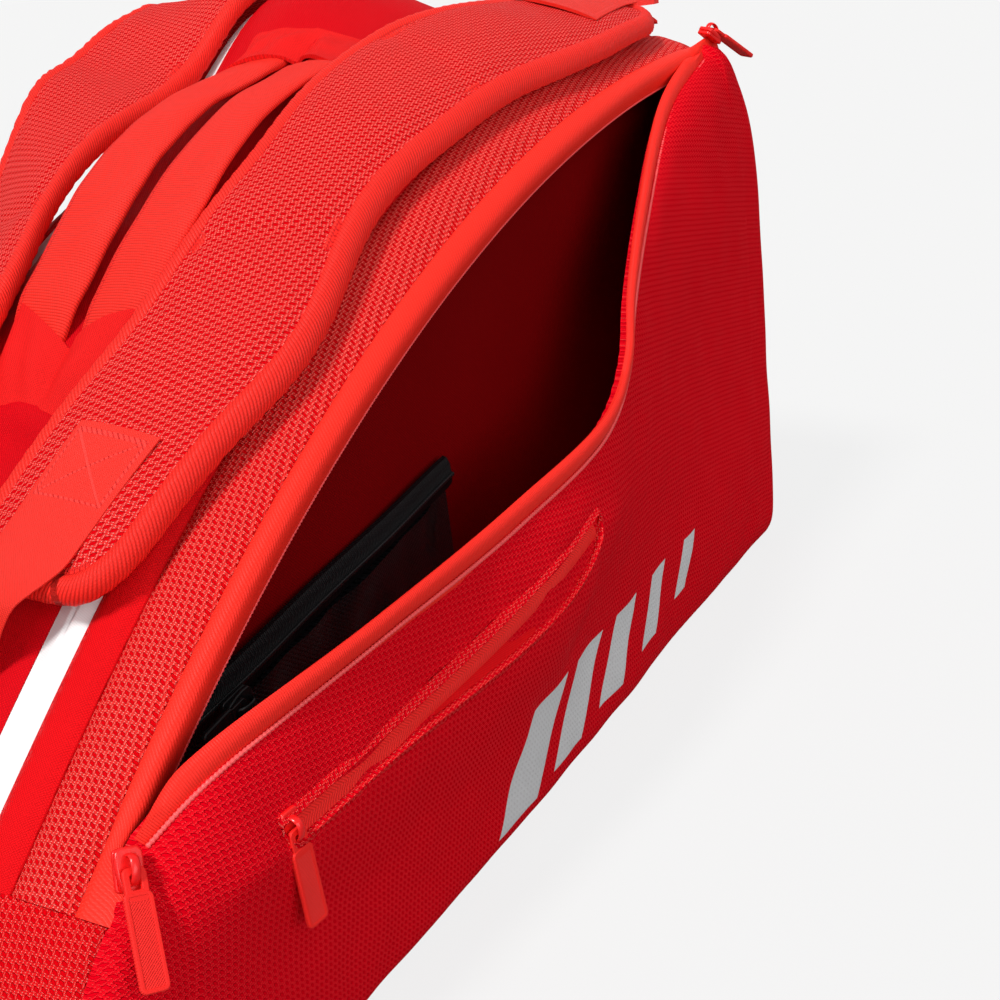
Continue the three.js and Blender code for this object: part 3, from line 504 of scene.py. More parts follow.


# Side panels and hems are the same woven fabric as the gusset and strap. Here it is painted a deeper red with few
# painted glints because these pieces face away from the key light: a shaded copy, painted shade. The gusset and strap
# take the pinker key-lit copy with many painted glints, and the base lies between.
SHADED_SIDE_RED, SIDE_HOLE = (0.90, 0.006, 0.016), (0.66, 0.0005, 0.008)
m_gusset = chunky("woven_gusset")
m_side = chunky("woven_side", SHADED_SIDE_RED, SIDE_HOLE, distance=0.4, glint_share=0.10, specular=0.02)
m_side_print = chunky("woven_side_print", SHADED_SIDE_RED, SIDE_HOLE, distance=0.4, decor=speed_bars, glint_share=0.10,
                      specular=0.02)
m_strap = chunky("woven_strap", (0.95, 0.046, 0.040), HOLE, glint_share=0.8)
m_base = chunky("woven_base", (0.90, 0.018, 0.020), HOLE, glint_share=0.6, specular=0.08)
m_spine = plain("plain_spine", (0.74, 0.003, 0.009), pitch=1.3, distance=0.2)
m_band = plain("plain_band", (0.86, 0.006, 0.010), pitch=1.2, rows=(1.6,), distance=0.22)
m_tape = ribbed("zip_tape", (0.98, 0.028, 0.016), angle=45.0, pitch=1.3, distance=0.13, chevron=4.2, depth=0.84)
m_tape_plain = ribbed("zip_tape_ribbed", (0.96, 0.026, 0.016), angle=90.0, pitch=1.05, distance=0.14, depth=0.82)
m_webbing_fine = plain("webbing_fine", (0.95, 0.026, 0.018), pitch=1.15, distance=0.2)
m_white = ribbed("zip_tape_white", (0.86, 0.86, 0.87), angle=70.0, pitch=0.9, distance=0.04, depth=0.97)
m_hem = chunky("woven_hem", (0.88, 0.010, 0.014), SIDE_HOLE, distance=0.4, glint_share=0.5, specular=0.05)
m_facing = plain("pocket_facing", (0.88, 0.006, 0.010), pitch=1.1, distance=0.12)
m_strip = ribbed("zip_strip", (0.95, 0.022, 0.018), angle=45.0, pitch=1.2, distance=0.2, chevron=5.4, depth=0.72)
m_lining = plain("lining_weave", (0.19, 0.0003, 0.0012), pitch=1.6, distance=0.15, rough=0.75)
m_coil = moulded("zip_coil", (0.92, 0.10, 0.10), 0.35, 0.03, 0.3)
m_enamel = moulded("slider_enamel", (0.90, 0.010, 0.010), 0.3, 0.02, 0.4, 0.15)
m_pull = moulded("pull_moulded", (0.90, 0.018, 0.014), 0.5, 0.03, 0.2, diagonal=0.16)
m_plastic = moulded("buckle_plastic", (0.93, 0.030, 0.022), 0.38, 0.03, 0.35)
m_board = moulded("board_sheet", (0.03, 0.03, 0.035), 0.6, 0.1, 0.3)
m_black = moulded("black_enamel", (0.008, 0.008, 0.009), 0.3, 0.02, 0.4)
m_black_tape = ribbed("black_zip_tape", (0.004, 0.004, 0.005), angle=90.0, pitch=1.1, distance=0.25)


def net_material():
    """Glossy black open net, drawn as raised cords round dark cells."""
    g = Graph("black_net")
    u, v = g.mul(g.u, 1 / 3.2), g.mul(g.v, 1 / 2.4)
    field = g.mul(g.cosine(g.mul(g.add(u, v), 0.5)), g.cosine(g.mul(g.math("SUBTRACT", u, v), 0.5)))
    cell = g.step(g.math("ABSOLUTE", field), 0.35, 0.75)
    colour = g.mix(cell, (0.006, 0.006, 0.007), (0.0006, 0.0006, 0.0008))
    return g.finish(colour, g.mul(cell, -1.0), 0.6, 0.34, 0.4)


m_net = net_material()

# ------------------------------------------------------------------ belt of panels
def seam_dip(t, width, depth, reach):
    edge = np.minimum(t, 1 - t) * width
    return -depth * np.exp(-(edge / reach) ** 1.5), edge


def belt_strip(name, node, y0, y1, cols, material, slot, puff, dip, thick=4.0, base=0.0, waves=0.5,
               gather=0.3, seed=1, rail=None, shape=None):
    rail = rail or belt
    sign = 1 if y1 > 0 else -1
    t = (1 - np.cos(np.linspace(0, PI, cols))) / 2 if cols > 6 else np.linspace(0, 1, cols)
    y = lerp(y0, y1, t)
    width = abs(y1 - y0)
    u = rail.u[:, None] + 0 * y[None]
    v = t[None] * width + 0 * u
    sink, edge = seam_dip(t[None], width, dip, 3.2)
    bulge = puff * (1 - np.abs(2 * t[None] - 1) ** 3)
    lift = base + sink + bulge + waves * ripple(u, v * 1.0, 95.0, seed) * np.clip(edge / 12, 0, 1)
    lift = lift + gather * pucker(u, edge + 0 * u, seed + 5) * np.clip(edge / 1.5, 0, 1)
    if shape is not None:
        lift = lift + shape(u, v)
    outer = rail.at(y, lift)
    inner = rail.at(y, np.minimum(lift, base + dip * 0) * 0 + base - thick)
    obj = slab(name, outer, inner, np.stack([u, v], -1), material)
    return done(obj, ROOT, slot, node)


def spine_folds(u, v):
    """Folds of the slack spine fabric under and beside the carry handles."""
    x = np.interp(u, belt.u, belt.x)
    y = v - SPINE_HALF
    near = np.exp(-(((x + 148) / 26) ** 2))
    fold = 2.6 * near * np.cos(2 * PI * (x + 148 + 0.25 * np.abs(y)) / 30) * np.exp(-((y / 52) ** 4))
    between = 1.5 * np.exp(-((y / 9) ** 2)) * np.exp(-(((x + 20) / 120) ** 4))
    low = -3.0 * smooth((-150 - x) / 60) * np.exp(-((y / 45) ** 2)) * (1 + 0.4 * np.sin(x / 9.0))
    return fold + between + low


belt_strip("spine_panel_fabric", "spine_panel", -SPINE_HALF + 0.3, SPINE_HALF - 0.3, 44, m_spine, "woven_panel",
           1.2, 1.8, waves=1.4, seed=3, shape=spine_folds)
for side, sign in (("front", -1), ("rear", 1)):
    seed = 20 if sign < 0 else 60
    belt_strip(f"binding_band_{side}_fabric", f"binding_band_{side}", sign * (ZIP_HALF + 0.2), sign * (BAND_HALF - 0.2),
               14, m_band, "binding_tape", 1.6, 1.6, gather=1.3, waves=0.5, seed=seed)
    belt_strip(f"gusset_{side}_fabric", f"gusset_{side}", sign * (BAND_HALF + 0.2), sign * (GUSSET_HALF - 0.2),
               20, m_gusset, "woven_panel", 1.3, 2.2, gather=0.25, waves=0.5, seed=seed + 1)

    def zip_ridge(u, v):
        middle = v - (ZIP_HALF - SPINE_HALF) / 2
        return 0.9 * np.exp(-(middle / 3.4) ** 2) - 0.9 * np.exp(-(middle / 0.45) ** 2)

    belt_strip(f"main_zip_{side}_tape", f"main_zip_{side}", sign * (SPINE_HALF + 0.1), sign * (ZIP_HALF - 0.1),
               25, m_white, "white_zip_tape", 0.2, 0.9, thick=1.8, base=-1.0, gather=0.15, waves=0.3,
               seed=seed + 2, shape=zip_ridge)


base_y = np.concatenate([np.linspace(-BASE_HALF, -BASE_HALF + 20, 8), np.linspace(-BASE_HALF + 26, BASE_HALF - 26, 40),
                         np.linspace(BASE_HALF - 20, BASE_HALF, 8)])
bu, bv = base_rail.u[:, None] + 0 * base_y[None], base_y[None] + 0 * base_rail.u[:, None]
base_edge = BASE_HALF - np.abs(bv)
under = smooth((base_rail.z - 3) / 12)[:, None]
from_seam = np.minimum(base_rail.u, base_rail.u[-1] - base_rail.u)[:, None]
base_lift = under * (-1.6 * np.exp(-(from_seam / 3.0) ** 1.5) - 1.2 * np.exp(-(base_edge / 3.5) ** 1.5)
                     + 0.9 * ripple(bu, bv, 90.0, 9) * np.clip(base_edge / 14, 0, 1) * np.clip(from_seam / 14, 0, 1)
                     + 0.35 * pucker(bv, from_seam + 0 * bv, 12))
base_outer = base_rail.at(base_y, base_lift)
base_inner = base_rail.at(base_y, -4.0 + 0 * base_lift)
base_outer[..., 2] = np.maximum(base_outer[..., 2], 0.0)
done(slab("base_panel_fabric", base_outer, base_inner, np.stack([bu, bv], -1), m_base), ROOT, "woven_panel", "base_panel")

# ------------------------------------------------------------------ side panels
zip_lift = float(crown_at(ZIP_EDGE))


def upper_z(x):
    x = np.asarray(x, float)
    far = CORNER_Z + np.sqrt(np.maximum((FAR_CORNER + zip_lift) ** 2 - (x - TOP_X) ** 2, 0))
    near = nose_z + np.sqrt(np.maximum(NOSE_RADIUS ** 2 - (x - nose_x) ** 2, 0)) - 1
    mid = TOP_Z + np.sqrt((TOP_RADIUS + zip_lift) ** 2 - (x - TOP_X) ** 2)
    return np.where(x > TOP_X, far, np.where(x < NEAR_SEAM_X, near, mid))


def lower_z(x):
    x = np.asarray(x, float)
    near, far = np.maximum(fillet_x - x, 0), np.maximum(x - (FAR_X - FILLET_FAR), 0)
    a = FILLET_NEAR - np.sqrt(np.maximum(FILLET_NEAR ** 2 - near ** 2, 0))
    b = FILLET_FAR - np.sqrt(np.maximum(FILLET_FAR ** 2 - far ** 2, 0))
    return a + b


def catmull(points, count):
    """Centripetal Catmull-Rom through points."""
    p = [np.asarray(a, float) for a in points]
    p = [2 * p[0] - p[1]] + p + [2 * p[-1] - p[-2]]
    spans = len(p) - 3
    out = []
    for t in np.linspace(0, spans, count + 1):
        i = min(int(t), spans - 1)
        w = t - i
        q = p[i:i + 4]
        knots = [0.0]
        for k in range(3):
            knots.append(knots[-1] + max(np.linalg.norm(q[k + 1] - q[k]) ** 0.5, 1e-6))
        s = lerp(knots[1], knots[2], w)
        a = [q[k] * (knots[k + 1] - s) / (knots[k + 1] - knots[k]) + q[k + 1] * (s - knots[k]) / (knots[k + 1] - knots[k])
             for k in range(3)]
        b = [a[k] * (knots[k + 2] - s) / (knots[k + 2] - knots[k]) + a[k + 1] * (s - knots[k]) / (knots[k + 2] - knots[k])
             for k in range(2)]
        out.append(b[0] * (knots[2] - s) / (knots[2] - knots[1]) + b[1] * (s - knots[1]) / (knots[2] - knots[1]))
    return np.array(out)


LIP = [(-286, -142, float(upper_z(-286))), (-257, -158, 160), (-167, -177, 175), (-57, -184, 181), (38, -187, 193),
       (77, -182, 212), (105, -174, 238), (153, -163, 274), (228, -149, 320), (308, -142, float(upper_z(308)))]
lip_points = catmull(LIP, 400)
LIP_START, LIP_END = lip_points[0, 0], lip_points[-1, 0]


def lip_at(x):
    return np.stack([np.asarray(x, float), np.interp(x, lip_points[:, 0], lip_points[:, 1]),
                     np.interp(x, lip_points[:, 0], lip_points[:, 2])], -1)


SIDE_START, SIDE_END = fillet_x - FILLET_NEAR + 7, FAR_X - 3


def side_fade(x):
    near = np.clip((x - SIDE_START) / 60, 0, 1)
    far = np.clip((SIDE_END - x) / 22, 0, 1)
    return np.sqrt(1 - (1 - near) ** 2) * np.sqrt(1 - (1 - far) ** 2)


def side_width(x, v, top_width, slump):
    edge_half = BASE_HALF + 2
    flat = edge_half + (SIDE_HALF - edge_half) * side_fade(x)
    bulged = flat + slump * smooth(v / 0.75)
    low = edge_half + (bulged - edge_half) * np.sqrt(np.maximum(1 - np.abs(1 - 2 * v) ** 14, 0))
    high = top_width + (bulged - top_width) * np.sqrt(np.maximum(1 - np.abs(2 * v - 1) ** 6, 0))
    return np.where(v < 0.5, low, high)


def closed_top(x):
    return lerp(BASE_HALF + 2, ZIP_EDGE + 1, np.clip((x - NEAR_SEAM_X - 4) / 12, 0, 1))


def front_point(x, v):
    x, v = np.broadcast_arrays(np.asarray(x, float), np.asarray(v, float))
    is_open = (x > LIP_START) & (x < LIP_END)
    lip = lip_at(x)
    top_w = np.where(is_open, -lip[..., 1], closed_top(x))
    top_z = np.where(is_open, lip[..., 2], upper_z(x) + 5.0 * np.exp(-(((x - 320) / 17) ** 4)))
    slump = np.where(is_open, 23 * np.exp(-(((x + 20) / 165) ** 2)), 0)
    y = side_width(x, v, top_w, slump)
    return np.stack([x, -y, lerp(lower_z(x), top_z, v)], -1)


def rear_point(x, v):
    x, v = np.broadcast_arrays(np.asarray(x, float), np.asarray(v, float))
    return np.stack([x, side_width(x, v, closed_top(x), 0), lerp(lower_z(x), upper_z(x), v)], -1)


def side_grid(point_at, x, sign, seed, shape=None):
    v = np.concatenate([np.linspace(0, 0.06, 8), np.linspace(0.08, 0.92, 44), np.linspace(0.94, 1, 8)])
    grid = point_at(x[:, None], v[None])
    n = normals_of(grid)
    n *= np.sign((n[..., 1:2] * sign).mean())
    rise = lengths(grid, 1)
    u = x[:, None] - x[0] + 0 * rise
    rim = np.minimum(rise, rise[:, -1:] - rise)
    ends = np.minimum(x - SIDE_START, SIDE_END - x)[:, None]
    wrinkle = 1.3 * ripple(u, rise, 120.0, seed) + 0.5 * ripple(u, rise, 48.0, seed + 1)
    lift = wrinkle * np.clip(rim / 22, 0, 1) * np.clip(ends / 25, 0, 1)
    lift = lift + 0.35 * pucker(u, rim, seed + 2) * np.clip(ends / 8, 0, 1)
    if shape is not None:
        lift = lift + shape(x[:, None] + 0 * rise, grid[..., 2], rim)
    outer = grid + n * lift[..., None]
    inner = outer.copy()
    inner[..., 1] -= sign * 4.0
    limit = np.where((x[:, None] < NEAR_SEAM_X + 6) | (v[None] <= 0.4), BASE_HALF, ZIP_EDGE) + 0.3
    inner[..., 1] = sign * np.maximum(np.abs(inner[..., 1]), limit)
    outer[..., 1] = sign * np.maximum(np.abs(outer[..., 1]), np.abs(inner[..., 1]) + 0.3)
    return outer, inner, np.stack([u, rise], -1)


SPLIT_X = 38.0
seam_low = Vector((SPLIT_X * MM, 0, 0.020))
lip_mid = Vector((SPLIT_X * MM, 0, 0.193))
for part, corner in (("near", Vector((-0.240, 0, 0.165))), ("far", Vector((0.308, 0, 0.345)))):
    line = (seam_low - corner).normalized()
    n = Vector((-line.z, 0, line.x))
    if n.dot(lip_mid - seam_low) < 0:
        n = -n


SLOT_START, SLOT_END = -240.0, 5.0


def slot_high(x):
    """Upper edge of the welt pocket on the front panel."""
    return 129.0 + 28.0 * np.clip((x - SLOT_START) / 244, 0, 1) ** 1.5


def slot_low(x):
    """Its lower edge: the pocket gapes towards its far end, then closes at the bartack."""
    gape = 8.6 + 10.0 * smooth((x + 190) / 150)
    near = np.clip((x - SLOT_START) / 7, 0, 1)
    far = np.clip((x + 55) / 60, 0, 1)
    return slot_high(x) - gape * np.sqrt(np.maximum(1 - far ** 2.6, 0.004) * np.maximum(1 - (1 - near) ** 2, 0.01))


def front_shape(x, z, rim):
    """Shelf from the pocket's lip out to the welt pocket; below it the panel falls back, in shade."""
    high, low = slot_high(x), slot_low(x)
    lip = np.interp(x, lip_points[:, 0], lip_points[:, 2])
    above = np.clip((lip - z) / np.maximum(lip - high, 8), 0, 1)
    shelf = lerp(0.0, 6.5, above) + 3.0 * np.clip((high - z) / 10, 0, 1)
    shelf = shelf * lerp(1.0, smooth((z - low + 62) / 60), z < low)
    fade = smooth((x + 292) / 46) * (1 - smooth((x - 12) / 75))
    inside = smooth((z - low + 1) / 3) * smooth((high + 1 - z) / 3) * ((x > SLOT_START) & (x < SLOT_END))
    return fade * shelf - 2.4 * inside


front_x = np.concatenate([np.linspace(SIDE_START, LIP_START + 0.5, 22), np.linspace(LIP_START + 3, SPLIT_X, 92)])
front_x2 = np.concatenate([np.linspace(SPLIT_X, LIP_END - 3, 78), np.linspace(LIP_END - 0.5, SIDE_END, 20)])
whole = np.concatenate([front_x, front_x2[1:]])
outer, inner, flat = side_grid(front_point, whole, -1, 31, front_shape)
cut = len(front_x)
for part, rows, nodes in (("near", slice(0, cut), ("side_panel_front_near", "side_panel_front_far", "pocket_flap_front")),
                          ("far", slice(cut - 1, None), ())):
    obj = slab(f"side_panel_front_{part}_fabric", outer[rows], inner[rows], flat[rows], m_side_print)
    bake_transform(obj)
    done(obj, None, "woven_panel", *nodes)

rear_x = np.linspace(SIDE_START, SIDE_END, 200)
outer, inner, flat = side_grid(rear_point, rear_x, 1, 47)
done(slab("side_panel_rear_fabric", outer, inner, flat, m_side), ROOT, "woven_panel", "side_panel_rear")


# ------------------------------------------------------------------ sweeping profiles
def frames_along(path, up):
    """Tangent, side and up vectors along a path, up held close to the given one."""
    t = np.gradient(path, axis=0)
    t /= np.linalg.norm(t, axis=1, keepdims=True)
    side = np.cross(t, up)
    side /= np.linalg.norm(side, axis=1, keepdims=True)
    return t, side, np.cross(side, t)


def coil_teeth(name, path, up, material, pitch=1.7, width=2.6, height=1.5, offset=0.0):
    """A chain of small rounded teeth along a path, as a closed ribbed cord."""
    path = np.asarray(path, float)
    d = np.concatenate([[0], np.cumsum(np.linalg.norm(np.diff(path, axis=0), axis=1))])
    count = int(d[-1] / pitch) * 4
    s = np.linspace(0, d[-1], count)
    fine = np.stack([np.interp(s, d, path[:, i]) for i in range(3)], -1)
    ups = np.asarray(up, float)
    ups = np.broadcast_to(ups, path.shape)
    fine_up = np.stack([np.interp(s, d, ups[:, i]) for i in range(3)], -1)
    t, side, n = frames_along(fine, fine_up)
    angle = np.linspace(0, 2 * PI, 9)[:-1]
    swell = 0.72 + 0.28 * np.array([0.0, 1.0, 1.0, 0.0])[np.arange(count) % 4]
    rings = (fine[:, None] + side[:, None] * (np.cos(angle)[None, :, None] * width / 2 * swell[:, None, None] + offset)
             + n[:, None] * (np.sin(angle)[None, :, None] * height / 2 * swell[:, None, None]))
    flat = np.stack(np.broadcast_arrays(s[:, None], angle[None]), -1)
    return tube(name, rings, flat, material, smooth_angle=80)


def blend_parts(name, build, x_of, slot, nodes, closed=False):
    """Makes a piece in two lengths, parted over the middle of the pocket."""
    for part in ("near", "far"):
        obj = build(f"{name}_{part}_length", part)
        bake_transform(obj)
        done(obj, None, slot, *(nodes if part == "near" else ()))


# ------------------------------------------------------------------ front pocket's zip
def lip_frame(part):
    x = np.linspace(LIP_START + 6, SPLIT_X, 110) if part == "near" else np.linspace(SPLIT_X, LIP_END - 6, 110)
    p = lip_at(x)
    below = front_point(x, 0.93 + 0 * x)
    down_ = below - p
    down_ /= np.linalg.norm(down_, axis=1, keepdims=True)
    t = np.gradient(p, axis=0)
    t /= np.linalg.norm(t, axis=1, keepdims=True)
    out = np.cross(t, down_)
    out *= np.sign(-out[:, 1:2] + 1e-9)
    out /= np.linalg.norm(out, axis=1, keepdims=True)
    return x, p, t, down_, out


def lip_tape(name, part):
    """Tape along the free edge: a rolled ribbed strip, a groove for the coil, a flat strip."""
    x, p, t, down_, out = lip_frame(part)
    inward = -out
    fade = smooth((x - LIP_START) / 26) * smooth((LIP_END - x) / 30)
    profile = [(9.6, 0.2), (8.6, 1.3), (6.4, 1.7), (5.4, 0.9), (4.8, 0.9), (4.2, 1.9), (2.4, 3.2), (0.0, 4.2), (-2.6, 4.4),
               (-4.8, 3.6), (-5.8, 2.2), (-5.2, 0.6), (-3.0, 0.8), (-1.0, 0.4), (0.4, -0.9), (4.0, -0.9), (9.6, -0.9)]
    rings = []
    for down_by, out_by in profile:
        reach = fade if down_by < 0 else np.ones_like(fade)
        hang = np.where(down_by > 0, -0.05 * down_by, 0)
        rings.append(p + down_ * (down_by * reach)[:, None] + out * ((out_by + hang) * np.maximum(reach, 0.5))[:, None])
    rings = np.stack(rings, 1)
    u = np.concatenate([[0], np.cumsum(np.linalg.norm(np.diff(p, axis=0), axis=1))])
    v = np.concatenate([[0], np.cumsum([math.dist(a, b) for a, b in zip(profile, profile[1:])])])
    flat_ = np.stack(np.broadcast_arrays(u[:, None], v[None]), -1)
    return tube(name, rings, flat_, m_tape_plain)


blend_parts("pocket_lip_tape", lip_tape, None, "binding_tape",
            ("pocket_zip_lip_near", "pocket_zip_lip_middle", "pocket_zip_lip_far"))


def lip_coil(name, part):
    x, p, t, down_, out = lip_frame(part)
    return coil_teeth(name, p + out * 2.1 + down_ * 5.2, out, m_coil, 2.0, 2.2, 1.8)


blend_parts("pocket_lip_coil", lip_coil, None, "zip_slider", ())


def fixed_zip(side, sign):
    """Tape sewn along the edge of the gusset: a folded herringbone strip with a hanging edge."""
    rail = belt
    is_open = np.zeros(len(rail.x))
    if sign < 0:
        is_open = smooth((rail.x - LIP_START + 4) / 22) * smooth((LIP_END + 4 - rail.x) / 22) * (rail.z > 200 - 400 * (rail.x < 0))
    profile_open = [(GUSSET_HALF - 1.0, -1.2), (GUSSET_HALF + 0.6, 0.9), (GUSSET_HALF + 3.0, 1.7), (GUSSET_HALF + 6.0, 1.6),
                    (GUSSET_HALF + 8.2, 0.4), (GUSSET_HALF + 8.8, -2.0), (GUSSET_HALF + 8.0, -5.0), (GUSSET_HALF + 6.6, -9.0),
                    (GUSSET_HALF + 5.2, -12.5), (GUSSET_HALF + 4.4, -12.3), (GUSSET_HALF + 5.4, -8.0), (GUSSET_HALF + 5.6, -4.0),
                    (GUSSET_HALF + 4.6, -2.2), (GUSSET_HALF + 1.5, -2.6)]
    profile_shut = [(GUSSET_HALF - 0.6, -1.6), (GUSSET_HALF + 0.6, -0.2), (GUSSET_HALF + 2.6, 0.5), (GUSSET_HALF + 4.8, 0.5),
                    (GUSSET_HALF + 5.8, 0.3), (GUSSET_HALF + 6.4, 0.1), (GUSSET_HALF + 6.6, -0.4), (GUSSET_HALF + 6.6, -1.0),
                    (GUSSET_HALF + 6.4, -1.6), (GUSSET_HALF + 6.0, -1.9), (GUSSET_HALF + 5.0, -2.1), (GUSSET_HALF + 4.0, -2.2),
                    (GUSSET_HALF + 2.5, -2.3), (GUSSET_HALF + 0.8, -2.4)]
    rings = []
    for (ya, ha), (yb, hb) in zip(profile_open, profile_shut):
        y = lerp(yb, ya, is_open)
        h = lerp(hb, ha, is_open)
        corner = 1 - smooth((rail.x - NEAR_SEAM_X - 6) / 14) + 1.15 * smooth((rail.x - FAR_X + 14) / 12)
        y = y + corner * np.clip((yb - GUSSET_HALF - 2) / 4, 0, 1) * 10.5
        if sign < 0:
            bump = np.exp(-(((rail.x - 322) / 16) ** 4)) * (rail.z > 300) * np.clip((yb - GUSSET_HALF - 1) / 4, 0, 1)
            y, h = y + 4.5 * bump, h + 9.5 * bump * (hb > -1)
        rise = crown_at(y) * rail.share + h
        rings.append(np.stack([rail.x + rail.nx * rise, sign * y, rail.z + rail.nz * rise], -1))
    rings = np.stack(rings, 1)
    v = np.concatenate([[0], np.cumsum([math.dist(a, b) for a, b in zip(profile_open, profile_open[1:])])])
    flat_ = np.stack(np.broadcast_arrays(rail.u[:, None], v[None]), -1)
    return tube(f"pocket_zip_fixed_{side}_tape", rings, flat_, m_tape)


for side, sign in (("front", -1), ("rear", 1)):
    done(fixed_zip(side, sign), ROOT, "binding_tape", f"pocket_zip_fixed_{side}")
keep = (belt.x > LIP_START + 4) & (belt.x < LIP_END - 2) & (belt.z > 112)
open_rail = belt.part(keep)
coil_path = open_rail.at(np.array([-(GUSSET_HALF + 5.0)]), -12.4 + np.zeros((keep.sum(), 1)))[:, 0]
done(coil_teeth("pocket_zip_fixed_coil", coil_path, (0, -1, 0.3), m_coil, 1.9, 1.8, 1.4), ROOT, "zip_slider")
shut_path = belt.at(np.array([ZIP_EDGE - 0.2]), 0.3 + np.zeros((len(belt.x), 1)))[:, 0]
done(coil_teeth("pocket_zip_rear_coil", shut_path, np.stack([belt.nx, 0.5 + 0 * belt.nx, belt.nz], -1), m_coil,
                1.9, 2.2, 1.2), ROOT, "zip_slider")

# ------------------------------------------------------------------ slot pocket


def slot_point(x, z, lift):
    """Point on the front panel at a given height, raised off it."""
    x, z = np.broadcast_arrays(np.asarray(x, float), np.asarray(z, float))
    low = lower_z(x)
    top = lip_at(x)[..., 2]
    p = front_point(x, (z - low) / (top - low))
    p[..., 1] -= lift + front_shape(x, z, None)
    return p


def slot_piece(name, x, low, high, profile, material, slot, nodes=()):
    """Strip along the welt pocket between two heights: profile is (share of width, lift)."""
    rings = [slot_point(x, lerp(low, high, a), h * np.ones_like(x)) for a, h in profile]
    rings = np.stack(rings, 1)
    step = np.linalg.norm(np.diff(rings, axis=1), axis=-1).mean(0)
    v = np.concatenate([[0], np.cumsum(step)])
    flat_ = np.stack(np.broadcast_arrays(x[:, None] - SLOT_START, v[None]), -1)
    obj = tube(name, rings, flat_, material)
    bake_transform(obj)
    return done(obj, None, slot, *nodes)


slot_x = np.linspace(SLOT_START, SLOT_END, 130)
top_edge, low_edge = slot_high(slot_x), slot_low(slot_x)
slot_piece("slot_pocket_upper_hem", slot_x, top_edge - 0.6, top_edge + 4.6,
           [(1.0, -0.8), (0.9, 0.5), (0.6, 1.2), (0.3, 1.9), (0.1, 1.6), (0, 0.4), (0.05, -1.0), (0.5, -1.6)], m_hem,
           "binding_tape")
slot_piece("slot_pocket_lower_hem", slot_x, low_edge + 0.8, low_edge - 4.0,
           [(1.0, -0.8), (0.9, 0.4), (0.6, 0.9), (0.3, 1.5), (0.1, 1.3), (0, 0.2), (0.05, -1.0), (0.5, -1.6)], m_hem,
           "binding_tape")
slot_piece("slot_pocket_facing", slot_x, low_edge - 1.5, top_edge + 1.5,
           [(0, -1.2), (0, -0.2), (0.25, -0.6), (0.5, -0.8), (0.8, -0.5), (1, 0.0), (1, -1.2), (0.5, -1.8)], m_facing,
           "binding_tape", ("slot_zip",))
zip_middle = top_edge - np.minimum(4.6, (top_edge - low_edge) * 0.5)
half_strip = np.minimum(4.0, (top_edge - low_edge) * 0.46)
slot_piece("slot_pocket_zip_strip", slot_x[:-3], (zip_middle - half_strip)[:-3], (zip_middle + half_strip)[:-3],
           [(0, -0.8), (0.02, 0.4), (0.2, 1.1), (0.5, 1.4), (0.8, 1.1), (0.98, 0.4), (1, -0.8), (0.5, -1.0)], m_strip,
           "binding_tape")


# ------------------------------------------------------------------ inner walls, pouch, board
def wall(name, node, y, seed, waves):
    x = np.linspace(belt.x[0] - 26, FAR_X - 9, 150)
    t = np.linspace(0, 1, 50)
    crown = float(crown_at(y))
    top = np.where(x > TOP_X, CORNER_Z + np.sqrt(np.maximum((FAR_CORNER + 0.6 * crown - 9) ** 2 - (x - TOP_X) ** 2, 0)),
                   TOP_Z + np.sqrt((TOP_RADIUS + crown * crown_share(x, 1.0) - 9) ** 2 - (x - TOP_X) ** 2))
    near = nose_z + np.sqrt(np.maximum((NOSE_RADIUS - 9) ** 2 - (x - nose_x) ** 2, 0))
    top = np.where(x < NEAR_SEAM_X + 6, np.minimum(top, near), top)
    low = np.full_like(x, 11.0)
    z = lerp(low[:, None], top[:, None], t[None])
    edge = np.minimum(z - low[:, None], top[:, None] - z)
    side_ = np.sign(y) if y else 1
    bow = waves * ripple(x[:, None], z, 110.0, seed) * np.clip(edge / 30, 0, 1)
    base = np.stack([x[:, None] + 0 * z, y + bow, z], -1)
    back = base.copy()
    back[..., 1] -= side_ * 3.0
    flat_ = np.stack([x[:, None] + 0 * z, z], -1)
    done(slab(name, base, back, flat_, m_lining), ROOT, "lining", node)


wall("pocket_wall_front_lining", "pocket_wall_front", -POCKET_WALL, 71, 1.6)
wall("pocket_wall_rear_lining", "pocket_wall_rear", POCKET_WALL, 72, 1.6)
wall("racket_divider_lining", "racket_divider", 2.0, 73, 1.2)

POUCH_START, POUCH_END = -236.0, -20.0


def pouch_top(x):
    return 162 + 0.13 * (x - POUCH_START)


px = np.linspace(POUCH_START, POUCH_END, 90)
pt = np.linspace(0, 1, 40)
pz = lerp(26.0, pouch_top(px)[:, None] - 14, pt[None])
pu = px[:, None] + 0 * pz
inside = np.minimum(np.minimum(pu - POUCH_START, POUCH_END - pu), pz - 26)
sag = 1.5 + 5.5 * smooth(inside / 45) + 1.4 * ripple(pu, pz, 50.0, 81) * smooth(inside / 15)
front = np.stack([pu, -POCKET_WALL - 1.2 - sag, pz], -1)
back = np.stack([pu, -POCKET_WALL - 1.0 + 0 * sag, pz], -1)
done(slab("mesh_pouch_net", front, back, np.stack([pu, pz], -1), m_net), ROOT, "black_mesh", "mesh_pouch")
tz = np.array([-15, -12, -8.2, -7.4, -6.6, -5.8, -2, 1.5, 2.0, 1.0, -4, -10, -14])
ty = np.array([4.0, 6.6, 7.0, 8.0, 8.0, 7.0, 6.8, 5.2, 3.0, 2.0, 2.4, 2.4, 2.4])
rings = np.stack([np.stack([px, -POCKET_WALL - 1.2 - b - 0.5 * np.sin(px / 17), pouch_top(px) + a], -1) for a, b in zip(tz, ty)], 1)
flat_ = np.stack(np.broadcast_arrays(px[:, None], np.cumsum(np.abs(tz))[None] * 0.4), -1)
done(tube("pouch_zip_tape", rings, flat_, m_black_tape), ROOT, "black_mesh", "pouch_zip")
